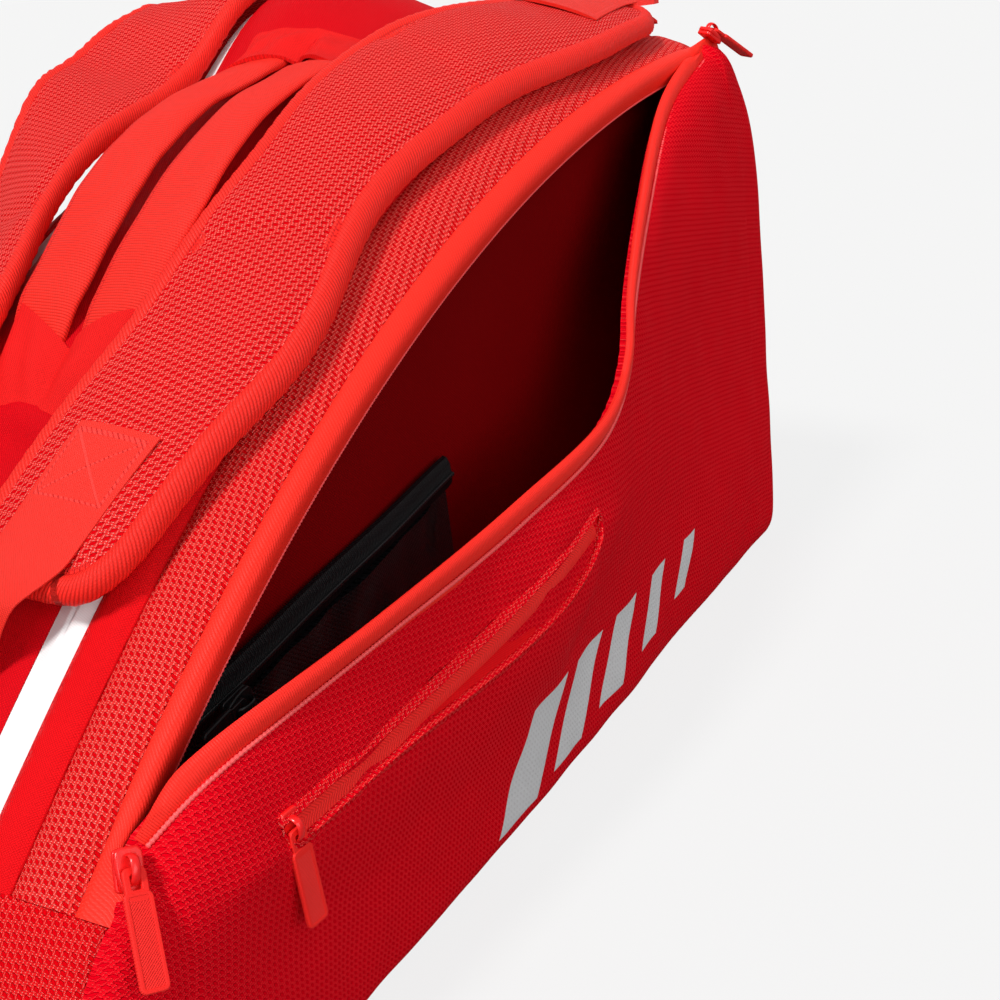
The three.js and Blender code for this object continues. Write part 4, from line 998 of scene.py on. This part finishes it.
done(coil_teeth("pouch_zip_coil", np.stack([px, -POCKET_WALL - 9.4 - 0.5 * np.sin(px / 17), pouch_top(px) - 7.0], -1),
                (0, -1, 0), m_black, 1.9, 2.4, 1.3), ROOT, "black_mesh")
for node in ("base_board",):
    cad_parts[node].data.materials.clear()
    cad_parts[node].data.materials.append(m_board)


# ------------------------------------------------------------------ zip sliders and pulls
PIVOT_X, PIVOT_Z = 0.6, 6.9


def outline_curve(name, loops, half, bevel, z=0.0):
    """Filled outline with rounded edges; loops are lists of (x, y)."""
    curve = bpy.data.curves.new(name, "CURVE")
    curve.dimensions = "2D"
    curve.fill_mode = "BOTH"
    curve.extrude = max(half - bevel, 0.01) * MM
    curve.bevel_depth = bevel * MM
    curve.bevel_resolution = 3
    for points in loops:
        spline = curve.splines.new("POLY")
        spline.points.add(len(points) - 1)
        for p, (x, y) in zip(spline.points, points):
            p.co = (x * MM, y * MM, 0, 1)
        spline.use_cyclic_u = True
    obj = bpy.data.objects.new(name, curve)
    bpy.context.scene.collection.objects.link(obj)
    mesh = bpy.data.meshes.new_from_object(obj)
    mesh.transform(Matrix.Translation((0, 0, z * MM)))
    bpy.data.objects.remove(obj)
    return mesh


def rounded(x0, x1, y0, y1, r, n=6):
    pts = []
    for cx, cy, a0 in ((x1 - r, y1 - r, 0), (x0 + r, y1 - r, 90), (x0 + r, y0 + r, 180), (x1 - r, y0 + r, 270)):
        for k in range(n + 1):
            a = math.radians(a0 + 90 * k / n)
            pts.append((cx + r * math.cos(a), cy + r * math.sin(a)))
    return pts


def inset(points, by):
    cx, cy = np.mean(points, axis=0)
    p = np.array(points)
    a, b = np.roll(p, 1, 0), np.roll(p, -1, 0)
    t = (b - a) / np.linalg.norm(b - a, axis=1, keepdims=True)
    n = np.stack([t[:, 1], -t[:, 0]], -1)
    n *= np.sign(((p - [cx, cy]) * n).sum(1, keepdims=True))
    return [tuple(q) for q in p - n * by]


def bent_bar(points, half_y, half_t, n=10):
    """A bar with an oval section bent in XZ: returns verts and faces in mm."""
    pts = np.asarray(points, float)
    d = np.concatenate([[0], np.cumsum(np.linalg.norm(np.diff(pts, axis=0), axis=1))])
    s = np.linspace(0, d[-1], 26)
    path = np.stack([np.interp(s, d, pts[:, 0]), np.interp(s, d, pts[:, 1])], -1)
    for _ in range(3):
        path[1:-1] = (path[:-2] + 2 * path[1:-1] + path[2:]) / 4
    t = np.gradient(path, axis=0)
    t /= np.linalg.norm(t, axis=1, keepdims=True)
    normal = np.stack([-t[:, 1], t[:, 0]], -1)
    a = np.linspace(0, 2 * PI, n + 1)[:-1]
    ring = []
    for p, q in zip(path, normal):
        ring.append([(p[0] + q[0] * half_t * math.sin(k), half_y * math.cos(k), p[1] + q[1] * half_t * math.sin(k)) for k in a])
    ring = np.array(ring)
    faces = grid_faces(len(path), n, 0, False, False, True) + [list(range(n))[::-1], list(range((len(path) - 1) * n, len(path) * n))]
    return ring.reshape(-1, 3), faces


def merged(name, parts, materials):
    """Joins meshes (or (verts, faces) in mm) into one mesh with a flat coordinate in its own XY."""
    verts, faces, depth, index = [], [], [], []
    for k, part in enumerate(parts):
        mat = 0
        if isinstance(part, tuple) and len(part) == 3:
            part, rib, mat = part
        else:
            rib = 0.0
        start = sum(len(v) for v in verts)
        if isinstance(part, tuple):
            v, f = np.asarray(part[0], float), part[1]
        else:
            v = np.array([p.co for p in part.vertices]).reshape(-1, 3) / MM
            f = [list(p.vertices) for p in part.polygons]
        verts.append(v)
        depth.append(np.full(len(v), rib))
        faces += [[i + start for i in face] for face in f]
        index += [mat] * len(f)
    verts = np.concatenate(verts)
    obj = new_object(name, verts, faces, verts[:, :2], materials, 40, np.concatenate(depth))
    obj.data.polygons.foreach_set("material_index", index)
    return obj


def slider_object(name, material):
    shield = [(-7.2, -3.0), (-6.0, -4.3), (-2.5, -4.6), (1.5, -4.2), (5.4, -3.2), (7.3, -2.0), (7.3, 2.0), (5.4, 3.2),
              (1.5, 4.2), (-2.5, 4.6), (-6.0, 4.3), (-7.2, 3.0)]
    lower = outline_curve("lower", [rounded(-7.2, 7.2, -4.5, 4.5, 1.5)], 1.0, 0.5, 1.7)
    upper = outline_curve("upper", [shield], 1.25, 0.8, 4.0)
    bridge = bent_bar([(-5.0, 3.6), (-5.2, 6.8), (-4.0, 9.2), (-1.0, 9.9), (2.2, 9.4), (4.6, 7.6), (5.2, 5.6), (4.8, 3.6)], 1.75, 0.75)
    return merged(name, [lower, upper, bridge], [material])


def pull_object(name, material, length=41.0):
    half = 5.0
    tab = rounded(PIVOT_X + 7.6, PIVOT_X + length, -half, half, 1.9)
    neck = rounded(PIVOT_X - 0.9, PIVOT_X + 10.4, -4.0, 4.0, 1.8)
    window = rounded(PIVOT_X + 0.9, PIVOT_X + 7.0, -2.45, 2.45, 1.1)
    ring = outline_curve("ring", [neck, window], 0.95, 0.5, PIVOT_Z)
    plate = outline_curve("plate", [tab], 0.9, 0.5, PIVOT_Z)
    rim = outline_curve("rim", [tab, inset(tab, 0.9)], 1.15, 0.28, PIVOT_Z)
    return merged(name, [ring, (plate, 1.0, 0), rim], [material])


def basis(along, out, origin):
    x = Vector(along).normalized()
    z = Vector(out)
    z = (z - x * z.dot(x)).normalized()
    y = z.cross(x)
    return Matrix(((x.x, y.x, z.x, origin[0] * MM), (x.y, y.y, z.y, origin[1] * MM),
                   (x.z, y.z, z.z, origin[2] * MM), (0, 0, 0, 1)))


def add_slider(name, origin, along, out, swing, slider_body, pull_body, material=None, pull_material=None,
               nodes=True, length=41.0):
    where = basis(along, out, origin)
    slider = slider_object(f"{name}_slider_shell", material or m_enamel)
    slider.data.transform(where)
    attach(slider, slider_body)
    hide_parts(f"{name}_slider")
    turn = (Matrix.Translation((PIVOT_X * MM, 0, PIVOT_Z * MM)) @ Matrix.Rotation(-math.radians(swing), 4, "Y")
            @ Matrix.Translation((-PIVOT_X * MM, 0, -PIVOT_Z * MM)))
    pull = pull_object(f"{name}_pull_tab", pull_material or m_pull, length)
    pull.data.transform(where @ turn)
    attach(pull, pull_body)
    if nodes:
        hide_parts(f"{name}_pull")


top_point = lambda x, y, lift: tuple(float(a) for a in on_top(x, y, lift))
add_slider("pocket_near", top_point(-291, -ZIP_EDGE - 9, 6), (-0.42, -0.3, -0.86), (-0.3, -0.92, 0.2), 10, ROOT, "pocket_near_pull")


def cad_top(x, y, lift):
    """As the frame places its sliders: on the long arc, even past its top."""
    nx = (x - TOP_X) / TOP_RADIUS
    nz = math.sqrt(1 - nx * nx)
    rise = float(crown_at(y)) * float(crown_share(x, nz)) + lift
    return (x + nx * rise, y, TOP_Z + TOP_RADIUS * nz + nz * rise)


add_slider("pocket_far", cad_top(TOP_X + 10, -ZIP_EDGE - 4, 8), (0.78, -0.2, -0.5), (0.5, -0.3, 0.8), 2, ROOT, "pocket_far_pull")
slot_sx = SLOT_START + 6
slot_sz = 125 + 0.09 * 6
low_s = float(lower_z(slot_sx))
slot_o = front_point(slot_sx, (slot_sz - low_s) / (float(lip_at(slot_sx)[2]) - low_s))
add_slider("slot", (slot_o[0], slot_o[1] - 1.8, slot_o[2]), (0, 0, -1), (-0.08, -1, 0), 3, "slot_slider", "slot_pull")
for side, sign in (("front", -1), ("rear", 1)):
    for place, z in (("upper", 268), ("lower", 212)):
        y = sign * (SPINE_HALF + ZIP_HALF) / 2
        add_slider(f"main_{side}_{place}", (FAR_X + float(crown_at(y)) * 0.3, y, z), (0, 0, -1), (1, 0, 0), 2,
                   f"main_{side}_{place}_slider", f"main_{side}_{place}_pull")
for place, x in (("near", -286), ("far", -228)):
    nx = (x - TOP_X) / TOP_RADIUS
    nz = math.sqrt(1 - nx * nx)
    add_slider(f"pocket_rear_{place}", cad_top(x, ZIP_EDGE - 3, 2.4), (-nz, 0, nx), (nx * 0.8, 0.6, nz * 0.8), 2,
               f"pocket_rear_{place}_slider", f"pocket_rear_{place}_pull")
pouch_x = POUCH_START + 30
add_slider("pouch", (pouch_x, -POCKET_WALL - 11, pouch_top(pouch_x) - 10), (-1, 0, -0.13), (0, -1, 0), 2,
           ROOT, ROOT, m_black, m_black, nodes=False, length=26.0)


# ------------------------------------------------------------------ shoulder straps
PAD_START, PAD_END = -222.0, 300.0
STRAP_LINES = {
    "front": [(-240, -60), (-210, -66), (-160, -76), (-108, -87), (-34, -83), (40, -80), (100, -82), (150, -88),
              (200, -91), (250, -89), (310, -86)],
    "rear": [(-240, 60), (-210, 62), (-160, 74), (-94, 90), (-40, 104), (30, 108), (110, 110), (170, 108), (220, 100),
             (310, 84)],
}


def pad_half(x):
    near = np.clip((x - PAD_START) / 26, 0, 1)
    far = np.clip((PAD_END - x) / 34, 0, 1)
    waist = 1 - 0.16 * np.exp(-(((x + 15) / 50) ** 2))
    return (STRAP_HALF * waist * (0.55 + 0.45 * np.sqrt(1 - (1 - near) ** 2))
            * (0.5 + 0.5 * np.sqrt(1 - (1 - far) ** 2)))


def strap_middle(side):
    line = catmull([(x, y, 0) for x, y in STRAP_LINES[side]], 300)
    return lambda x: np.interp(x, line[:, 0], line[:, 1])


FLOAT_LIFT, FLOAT_ROLL = 26.0, 0.3


def strap_point(side, middle, x, dy, lift):
    """Point of a strap. The rear one stands off the bag between its ends, outer edge turned up."""
    mid = middle(x)
    if side == "front":
        return on_top(x, mid + dy, lift)
    share = (smooth((x + 90) / 140) * smooth((206 - x) / 66))[..., None]
    mid = mid - 14.0 * smooth((x + 196) / 60) * smooth((90 - x) / 130)
    lying = on_top(x, mid + dy, lift)
    roll = FLOAT_ROLL * (1 - smooth((x - 90) / 60))
    up = np.stack([0 * dy, dy * np.cos(roll), dy * np.sin(roll)], -1)
    return lerp(lying, on_top(x, mid, lift + FLOAT_LIFT) + up, share)


def pad(side, sign):
    """Padded strap: a crowned slab whose edge is pulled in under its binding."""
    middle = strap_middle(side)
    x = np.linspace(PAD_START + 3, PAD_END - 3, 190)
    t = np.sin(np.linspace(-PI / 2, PI / 2, 34))
    half = (pad_half(x) - 2.2)[:, None]
    dy = half * t[None]
    u, v = x[:, None] + 0 * dy, dy + 40
    ends = np.minimum(x - PAD_START, PAD_END - x)[:, None]
    edge = half - np.abs(dy)
    body = STRAP_THICK * (0.42 + 0.50 * np.clip(edge / 9, 0, 1) ** 0.6) * np.clip(0.45 + ends / 30, 0, 1)
    soft = 0.9 * ripple(u, v, 80.0, 91 + sign) * np.clip(edge / 10, 0, 1)
    crease = -1.6 * np.exp(-(((u + 58 + 0.5 * dy) / 7) ** 2)) * np.clip(edge / 6, 0, 1)
    crease = crease - 1.2 * np.exp(-(((u - 96 - 0.3 * dy) / 9) ** 2)) * np.clip(edge / 6, 0, 1)
    groove = -0.7 * np.exp(-((edge - 8.5) / 1.6) ** 2)
    mid_lift = STRAP_LIFT + STRAP_THICK * 0.5
    upper = strap_point(side, middle, u, dy, mid_lift + 0.55 * body + soft + crease + groove)
    lower = strap_point(side, middle, u, dy, mid_lift - 0.45 * body + 0.4 * soft)
    obj = slab(f"shoulder_strap_{side}_pad", upper, lower, np.stack([u, v], -1), m_strap)
    return done(obj, f"shoulder_strap_{side}", "woven_panel", f"shoulder_strap_{side}")


def outline_of(half_at, x0, x1, middle, count=150):
    """Closed outline of a strap in plan, evenly spaced, and its outward normals."""
    xs = lerp(x0, x1, (1 - np.cos(np.linspace(0, PI, 400))) / 2)
    a = np.stack([xs, middle(xs) - half_at(xs)], -1)
    b = np.stack([xs[::-1], middle(xs[::-1]) + half_at(xs[::-1])], -1)
    loop = np.concatenate([a, b])
    loop = np.concatenate([loop, loop[:1]])
    d = np.concatenate([[0], np.cumsum(np.linalg.norm(np.diff(loop, axis=0), axis=1))])
    n = int(d[-1] / 3.0)
    s = np.linspace(0, d[-1], n + 1)[:-1]
    p = np.stack([np.interp(s, d, loop[:, 0]), np.interp(s, d, loop[:, 1])], -1)
    for _ in range(6):
        p = (np.roll(p, 1, 0) + 2 * p + np.roll(p, -1, 0)) / 4
    t = np.roll(p, -1, 0) - np.roll(p, 1, 0)
    t /= np.linalg.norm(t, axis=1, keepdims=True)
    return p, np.stack([t[:, 1], -t[:, 0]], -1), s


def binding(side, sign):
    """Twill tape folded over the pad's edge, fat and gathered, with a flat stitched margin."""
    middle = strap_middle(side)
    p, n, s = outline_of(pad_half, PAD_START, PAD_END, middle)
    mid_lift = STRAP_LIFT + STRAP_THICK * 0.5
    profile = [(-10.6, 3.6), (-10.2, 4.4), (-8.6, 4.7), (-7.6, 4.1), (-6.6, 4.9), (-4.6, 6.0), (-2.2, 5.8), (-0.2, 4.2), (0.9, 1.6),
               (1.0, -1.2), (0.0, -4.0), (-2.4, -5.4), (-6.0, -5.2), (-9.5, -4.0), (-9.0, -3.0), (-7.5, 0.0)]
    rope = 0.14 * np.sin(2 * PI * s / 8.0 + 1.5 * ripple(s, 0 * s, 60.0, 5 + sign))
    rings = []
    for i, (across, h) in enumerate(profile):
        fat = (rope if 5 <= i <= 11 else 0 * rope) * (1.7 if side == "rear" else 1.0)
        q = p + n * (across + fat)[:, None]
        rings.append(strap_point(side, middle, q[:, 0], q[:, 1] - middle(q[:, 0]), mid_lift + h + fat * np.sign(h)))
    rings = np.stack(rings, 1)
    v = np.concatenate([[0], np.cumsum([math.dist(a, b) for a, b in zip(profile, profile[1:])])])
    flat_ = np.stack(np.broadcast_arrays(s[:, None], v[None]), -1)
    obj = tube(f"shoulder_strap_{side}_binding", rings, flat_, m_strap_binding, closed_path=True)
    return done(obj, f"shoulder_strap_{side}", "binding_tape")


m_strap_binding = ribbed("strap_binding", (0.95, 0.024, 0.016), angle=58.0, pitch=1.5, distance=0.24, depth=0.66, rows=(3.5,))


def ribbon(name, x, y_mid, half, lift, thick, material, body, slot, nodes=(), cols=13, bend=0.0, width_v=None, arch=0.0):
    """Webbing over the top surface with slightly rounded edges."""
    t = np.sin(np.linspace(-PI / 2, PI / 2, cols))
    half = np.broadcast_to(half, x.shape)[:, None]
    y = np.broadcast_to(y_mid, x.shape)[:, None] + half * t[None]
    lift = np.broadcast_to(lift, x.shape)[:, None] + arch * (1 - t[None] ** 2)
    xs = x[:, None] + bend * t[None] ** 2
    round_ = thick * 0.35 * np.abs(t[None]) ** 6
    upper = on_top(xs, y, lift + thick - round_)
    lower = on_top(xs, y, lift + round_)
    u = lengths(upper, 0)
    v = half * (t[None] + 1)
    obj = slab(name, upper, lower, np.stack([u + 0 * v, v + 0 * u], -1), material)
    return done(obj, body, slot, *nodes)


def patch_material(name, u0, u1, width):
    """Webbing with a stitched box and a cross in it between two distances along the piece."""
    g = Graph(name)
    warp, weft = g.wave(g.u, 1.0 / 1.15), g.wave(g.v, 1.0 / 1.15)
    cross = g.math("ABSOLUTE", g.math("SUBTRACT", warp, weft))
    colour = (0.97, 0.028, 0.017)
    tone = g.mix(g.step(cross, 0.1, 0.8), tuple(0.72 * c for c in colour), colour)
    height = g.add(g.mul(cross, 0.5), g.mul(g.noise(0.3, 2.0), 0.3))
    inset_ = 3.0
    inside_u = g.mul(g.step(g.u, u0 + inset_ - 0.5, u0 + inset_), g.step(g.u, u1 - inset_ + 0.5, u1 - inset_))
    inside_v = g.mul(g.step(g.v, inset_ - 0.5, inset_), g.step(g.v, width - inset_ + 0.5, width - inset_))
    lines = [g.mul(g.band(g.v, inset_, 0.4, 0.3), inside_u), g.mul(g.band(g.v, width - inset_, 0.4, 0.3), inside_u),
             g.mul(g.band(g.u, u0 + inset_, 1.1, 0.3), inside_v), g.mul(g.band(g.u, u1 - inset_, 0.4, 0.3), inside_v)]
    slope = (width - 2 * inset_) / (u1 - u0 - 2 * inset_)
    for sign in (1, -1):
        start = inset_ if sign > 0 else width - inset_
        line = g.add(g.mul(g.math("SUBTRACT", g.u, u0 + inset_), sign * slope), start)
        lines.append(g.mul(g.step(g.math("ABSOLUTE", g.math("SUBTRACT", g.v, line)), 0.9, 0.5), inside_u))
    dash = g.step(g.wave(g.add(g.u, g.v), 1 / 2.6), 0.05, 0.25)
    total = lines[0]
    for line in lines[1:]:
        total = g.math("MAXIMUM", total, line)
    tone = g.mix(g.mul(total, 0.6), tone, (0.60, 0.006, 0.010))
    tone = g.mix(g.mul(total, dash, 0.8), tone, (0.98, 0.05, 0.038))
    height = g.add(height, g.mul(total, -0.9), g.mul(total, dash, 0.8))
    return g.finish(tone, height, 0.3, 0.5, 0.2)


LOCK_X, ANCHOR_Y, WEB_END = -284.0, 25.0, -270.0
PATCH_LIFT = STRAP_LIFT + STRAP_THICK + 0.4
for side, sign in (("front", -1), ("rear", 1)):
    pad(side, sign)
    binding(side, sign)
    middle = strap_middle(side)
    x = np.linspace(PAD_START + 62, WEB_END, 90)
    y = lerp(middle(x), sign * ANCHOR_Y, smooth((PAD_START + 12 - x) / 62))
    lift = lerp(4.8, PATCH_LIFT - 0.6, smooth((x - PAD_START + 26) / 20))
    lift = lift + 2.0 * np.exp(-(((x + 226) / 10) ** 2))
    band = ribbon(f"strap_webbing_lower_{side}_band", x, y, 19.0, lift, 1.9,
                  patch_material(f"stitched_box_{side}", 1.5, 40.0, 38.0), None, "webbing",
                  (f"strap_webbing_lower_{side}",), cols=17, arch=0.6)
    held, lifted = (on_top(np.array([a]), np.array([b]), np.array([5.0]))[0] * MM
                    for a, b in ((WEB_END, sign * ANCHOR_Y), (PAD_START + 4, float(middle(PAD_START)))))
    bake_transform(band)
    loop_y = float(middle(PAD_END))
    x = np.linspace(224, 300, 34)
    half = lerp(27.0, 19.0, np.clip((x - 224) / 56, 0, 1))
    ribbon(f"strap_tab_{side}_band", x, loop_y, half, PATCH_LIFT - 0.4, 2.0, patch_material(f"stitched_tab_{side}", 2.0, 52.0, 46.0),
           f"shoulder_strap_{side}", "webbing", (f"strap_tab_{side}",), cols=15, arch=0.5)
    a = np.linspace(314.5, 329, 12)
    drop = np.sqrt(FAR_CORNER ** 2 - (a - TOP_X) ** 2) - FAR_CORNER
    z = TOP_HEIGHT + drop + float(crown_at(loop_y)) * 0.98 + 5.5
    t = np.linspace(-1, 1, 9)
    low = np.stack([a[:, None] + 0 * t, loop_y + 19 * t[None] + 0 * a[:, None], z[:, None] + 0 * t[None]], -1)
    high = low + np.array([0, 0, 2.0])
    flat_ = np.stack(np.broadcast_arrays(a[:, None], 19 * t[None] + 19), -1)
    done(slab(f"strap_anchor_far_{side}_band", high, low, flat_, m_webbing_fine), ROOT, "webbing", f"strap_anchor_far_{side}")
    for node in (f"ladder_lock_{side}", f"strap_loop_{side}"):
        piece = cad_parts[node]
        piece.data.materials.clear()
        piece.data.materials.append(m_plastic)
        bevel = piece.modifiers.new("rounded", "BEVEL")
        bevel.width, bevel.segments, bevel.limit_method = 0.0009, 3, "ANGLE"
        bevel.harden_normals = False
        piece.data.polygons.foreach_set("use_smooth", [True] * len(piece.data.polygons))
        piece.data.set_sharp_from_angle(angle=math.radians(50))

# ------------------------------------------------------------------ carry handles
H_START, H_END, H_RISE, H_FOOT, H_Y = -130.0, 100.0, 14.0, 24.0, 21.5


def handle_skew(x):
    """Sideways drift of the handles toward the front at their near ends."""
    return -9.0 * smooth((40 - x) / 130)


def handle_rise(x):
    """Height of a handle's underside over the spine."""
    share = np.clip((x - H_START) / (H_END - H_START), 0, 1)
    ends = np.minimum(x - H_START, H_END - x)
    return (1.2 + H_RISE * np.sin(PI * share) ** 0.8) * smooth(ends / 30)


def handle(side, sign):
    """Folded webbing: a flattened tube with soft round edges, gathered where it is tucked in."""
    x = np.linspace(H_START + 6, H_END - 6, 130)
    share = np.clip((x - H_START) / (H_END - H_START), 0, 1)
    rise = handle_rise(x)
    ends = np.minimum(x - x[0], x[-1] - x)
    gathered = 1 - 0.16 * np.exp(-(ends / 16) ** 1.5)
    angle = np.linspace(0, 2 * PI, 41)[:-1]
    power = 0.42
    ca, sa = np.cos(angle), np.sin(angle)
    across = np.sign(ca) * np.abs(ca) ** power * 18.0
    up = np.sign(sa) * np.abs(sa) ** 0.75 * 2.6
    sway = sign * 1.6 * np.sin(PI * share) + 0.8 * np.sin(x / 37.0 + sign)
    dy = across[None] * gathered[:, None]
    roll = 0.10 * sign + 0.05 * np.sin(x / 45.0 + 2 * sign)
    lift = rise[:, None] + 2.2 + up[None] * (1 + 0.25 * np.exp(-(ends / 14) ** 2))[:, None] + dy * roll[:, None]
    lift = lift + 0.5 * ripple(x[:, None], dy, 40.0, 101 + sign) + 0.9 * (1 - (dy / 17) ** 2)
    y = sign * H_Y + (sway + handle_skew(x))[:, None] + dy
    rings = on_top(x[:, None] + 0 * dy, y, lift)
    u = np.concatenate([[0], np.cumsum(np.linalg.norm(np.diff(rings[:, 0], axis=0), axis=1))])
    flat_ = np.stack(np.broadcast_arrays(u[:, None], (across + 17)[None]), -1)
    obj = tube(f"carry_handle_{side}_band", rings, flat_, m_handle)
    return done(obj, f"carry_handle_{side}", "webbing", f"carry_handle_{side}")


m_handle = ribbed("handle_webbing", (0.95, 0.026, 0.016), angle=90.0, pitch=1.5, distance=0.26, depth=0.66, rows=(31.8,), fine=0.9)
for side, sign in (("front", -1), ("rear", 1)):
    handle(side, sign)


def pleat(name, node, x0, x1, half, point, material, height):
    """Folded cover sewn over webbing ends; its free edge has a point in the middle."""
    t = np.linspace(-1, 1, 33)
    s = np.linspace(0, 1, 22)
    far = x1 + point * (1 - np.abs(t)) if point else x1 + 0 * t
    x = lerp(x0, far[None], s[:, None])
    y = half * t[None] + 0 * x
    if point:
        over = np.clip(1 - ((np.abs(y) - H_Y) / 20.5) ** 4, 0, 1)
        body = 1.2 + (handle_rise(x) + 6.4) * over * smooth(s * 1.6)[:, None]
    else:
        body = height * np.sin(PI * np.clip(0.08 + 0.84 * s, 0, 1))[:, None] ** 0.6 * (1 - 0.35 * np.abs(t[None]) ** 6)
    gather = 0.9 * np.sin(np.abs(y) / 2.6 + 0.16 * (x - x0) * np.sign(point + 0.1)) * smooth(s * 2)[:, None]
    gather = gather * (1 - 0.6 * s[:, None])
    skewed = y + (handle_skew(x) if point else 0)
    upper = on_top(x, skewed, 0.8 + body + gather * (1 if point else 0.3))
    lower = on_top(x, skewed, 0.3 + 0 * body) if not point else on_top(x, skewed, np.maximum(body - 1.4, 0.3))
    obj = slab(name, upper, lower, np.stack([x - x0, y + half], -1), material)
    return done(obj, ROOT, "webbing", node)


m_pleat = plain("pleat_weave", (0.90, 0.016, 0.016), pitch=1.2, distance=0.2)
pleat("handle_pleat_near_fold", "handle_pleat_near", H_START - 20, H_START + 28, 41.0, -17.0, m_pleat, 5.5)
pleat("handle_pleat_far_fold", "handle_pleat_far", H_END + 20, H_END - 26, 41.0, 17.0, m_pleat, 5.5)
pleat("webbing_pleat_near_fold", "webbing_pleat_near", NEAR_SEAM_X + 4, LOCK_X - 2, 44.0, 0.0, m_webbing_fine, 3.0)

# ------------------------------------------------------------------ stage, light, camera
scene = bpy.context.scene
floor_mesh = bpy.data.meshes.new("floor")
floor_mesh.from_pydata([(-40, -40, 0), (40, -40, 0), (40, 40, 0), (-40, 40, 0)], [], [(0, 1, 2, 3)])
floor = bpy.data.objects.new("floor", floor_mesh)
floor.location.z = -0.0004
scene.collection.objects.link(floor)
pale = bpy.data.materials.new("floor_pale")
pale.use_nodes = True
pn, pl = pale.node_tree.nodes, pale.node_tree.links
pale_bsdf = pn["Principled BSDF"]
pale_bsdf.inputs["Base Color"].default_value = (0.07, 0.07, 0.07, 1)
pale_bsdf.inputs["Roughness"].default_value = 1.0
pale_bsdf.inputs["Specular IOR Level"].default_value = 0.0
glow = pn.new("ShaderNodeMix")
glow.inputs[2].default_value = 0.10
glow.inputs[3].default_value = 0.83
seen = pn.new("ShaderNodeLightPath")
pl.new(seen.outputs["Is Camera Ray"], glow.inputs[0])
pale_bsdf.inputs["Emission Color"].default_value = (1, 1, 1, 1)
pl.new(glow.outputs[0], pale_bsdf.inputs["Emission Strength"])
floor_mesh.materials.append(pale)
floor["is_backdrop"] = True

world = bpy.data.worlds.new("studio")
scene.world = world
world.use_nodes = True
wn, wl = world.node_tree.nodes, world.node_tree.links
rays = wn.new("ShaderNodeLightPath")
shade = wn.new("ShaderNodeMix")
shade.data_type = "RGBA"
shade.inputs[6].default_value = (0.40, 0.40, 0.40, 1)
shade.inputs[7].default_value = (0.92, 0.92, 0.92, 1)
wl.new(rays.outputs["Is Camera Ray"], shade.inputs[0])
wl.new(shade.outputs[2], wn["Background"].inputs["Color"])


def add_sun(name, towards, strength, degrees, colour=(1, 1, 1)):
    light = bpy.data.lights.new(name, "SUN")
    light.energy, light.angle, light.color = strength, math.radians(degrees), colour
    obj = bpy.data.objects.new(name, light)
    obj.rotation_euler = Vector(towards).to_track_quat("Z", "Y").to_euler()
    scene.collection.objects.link(obj)


add_sun("key", (-0.54, 0.10, 0.83), 2.6, 12, (1.0, 0.99, 0.97))
add_sun("fill", (-0.38, -0.90, 0.16), 1.75, 60)

lens = bpy.data.cameras.new("camera")
lens.lens = 51.98
lens.sensor_width = 36.0
lens.clip_start = 0.01
camera = bpy.data.objects.new("camera", lens)
right, up_, back = (0.4798, -0.8698, -0.1148), (0.3732, 0.0839, 0.9240), (-0.7940, -0.4862, 0.3649)
camera.matrix_world = Matrix(((right[0], up_[0], back[0], -0.5832), (right[1], up_[1], back[1], -0.49965),
                              (right[2], up_[2], back[2], 0.4297), (0, 0, 0, 1)))
scene.collection.objects.link(camera)
scene.camera = camera
scene.view_settings.view_transform = "Standard"

low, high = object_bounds()
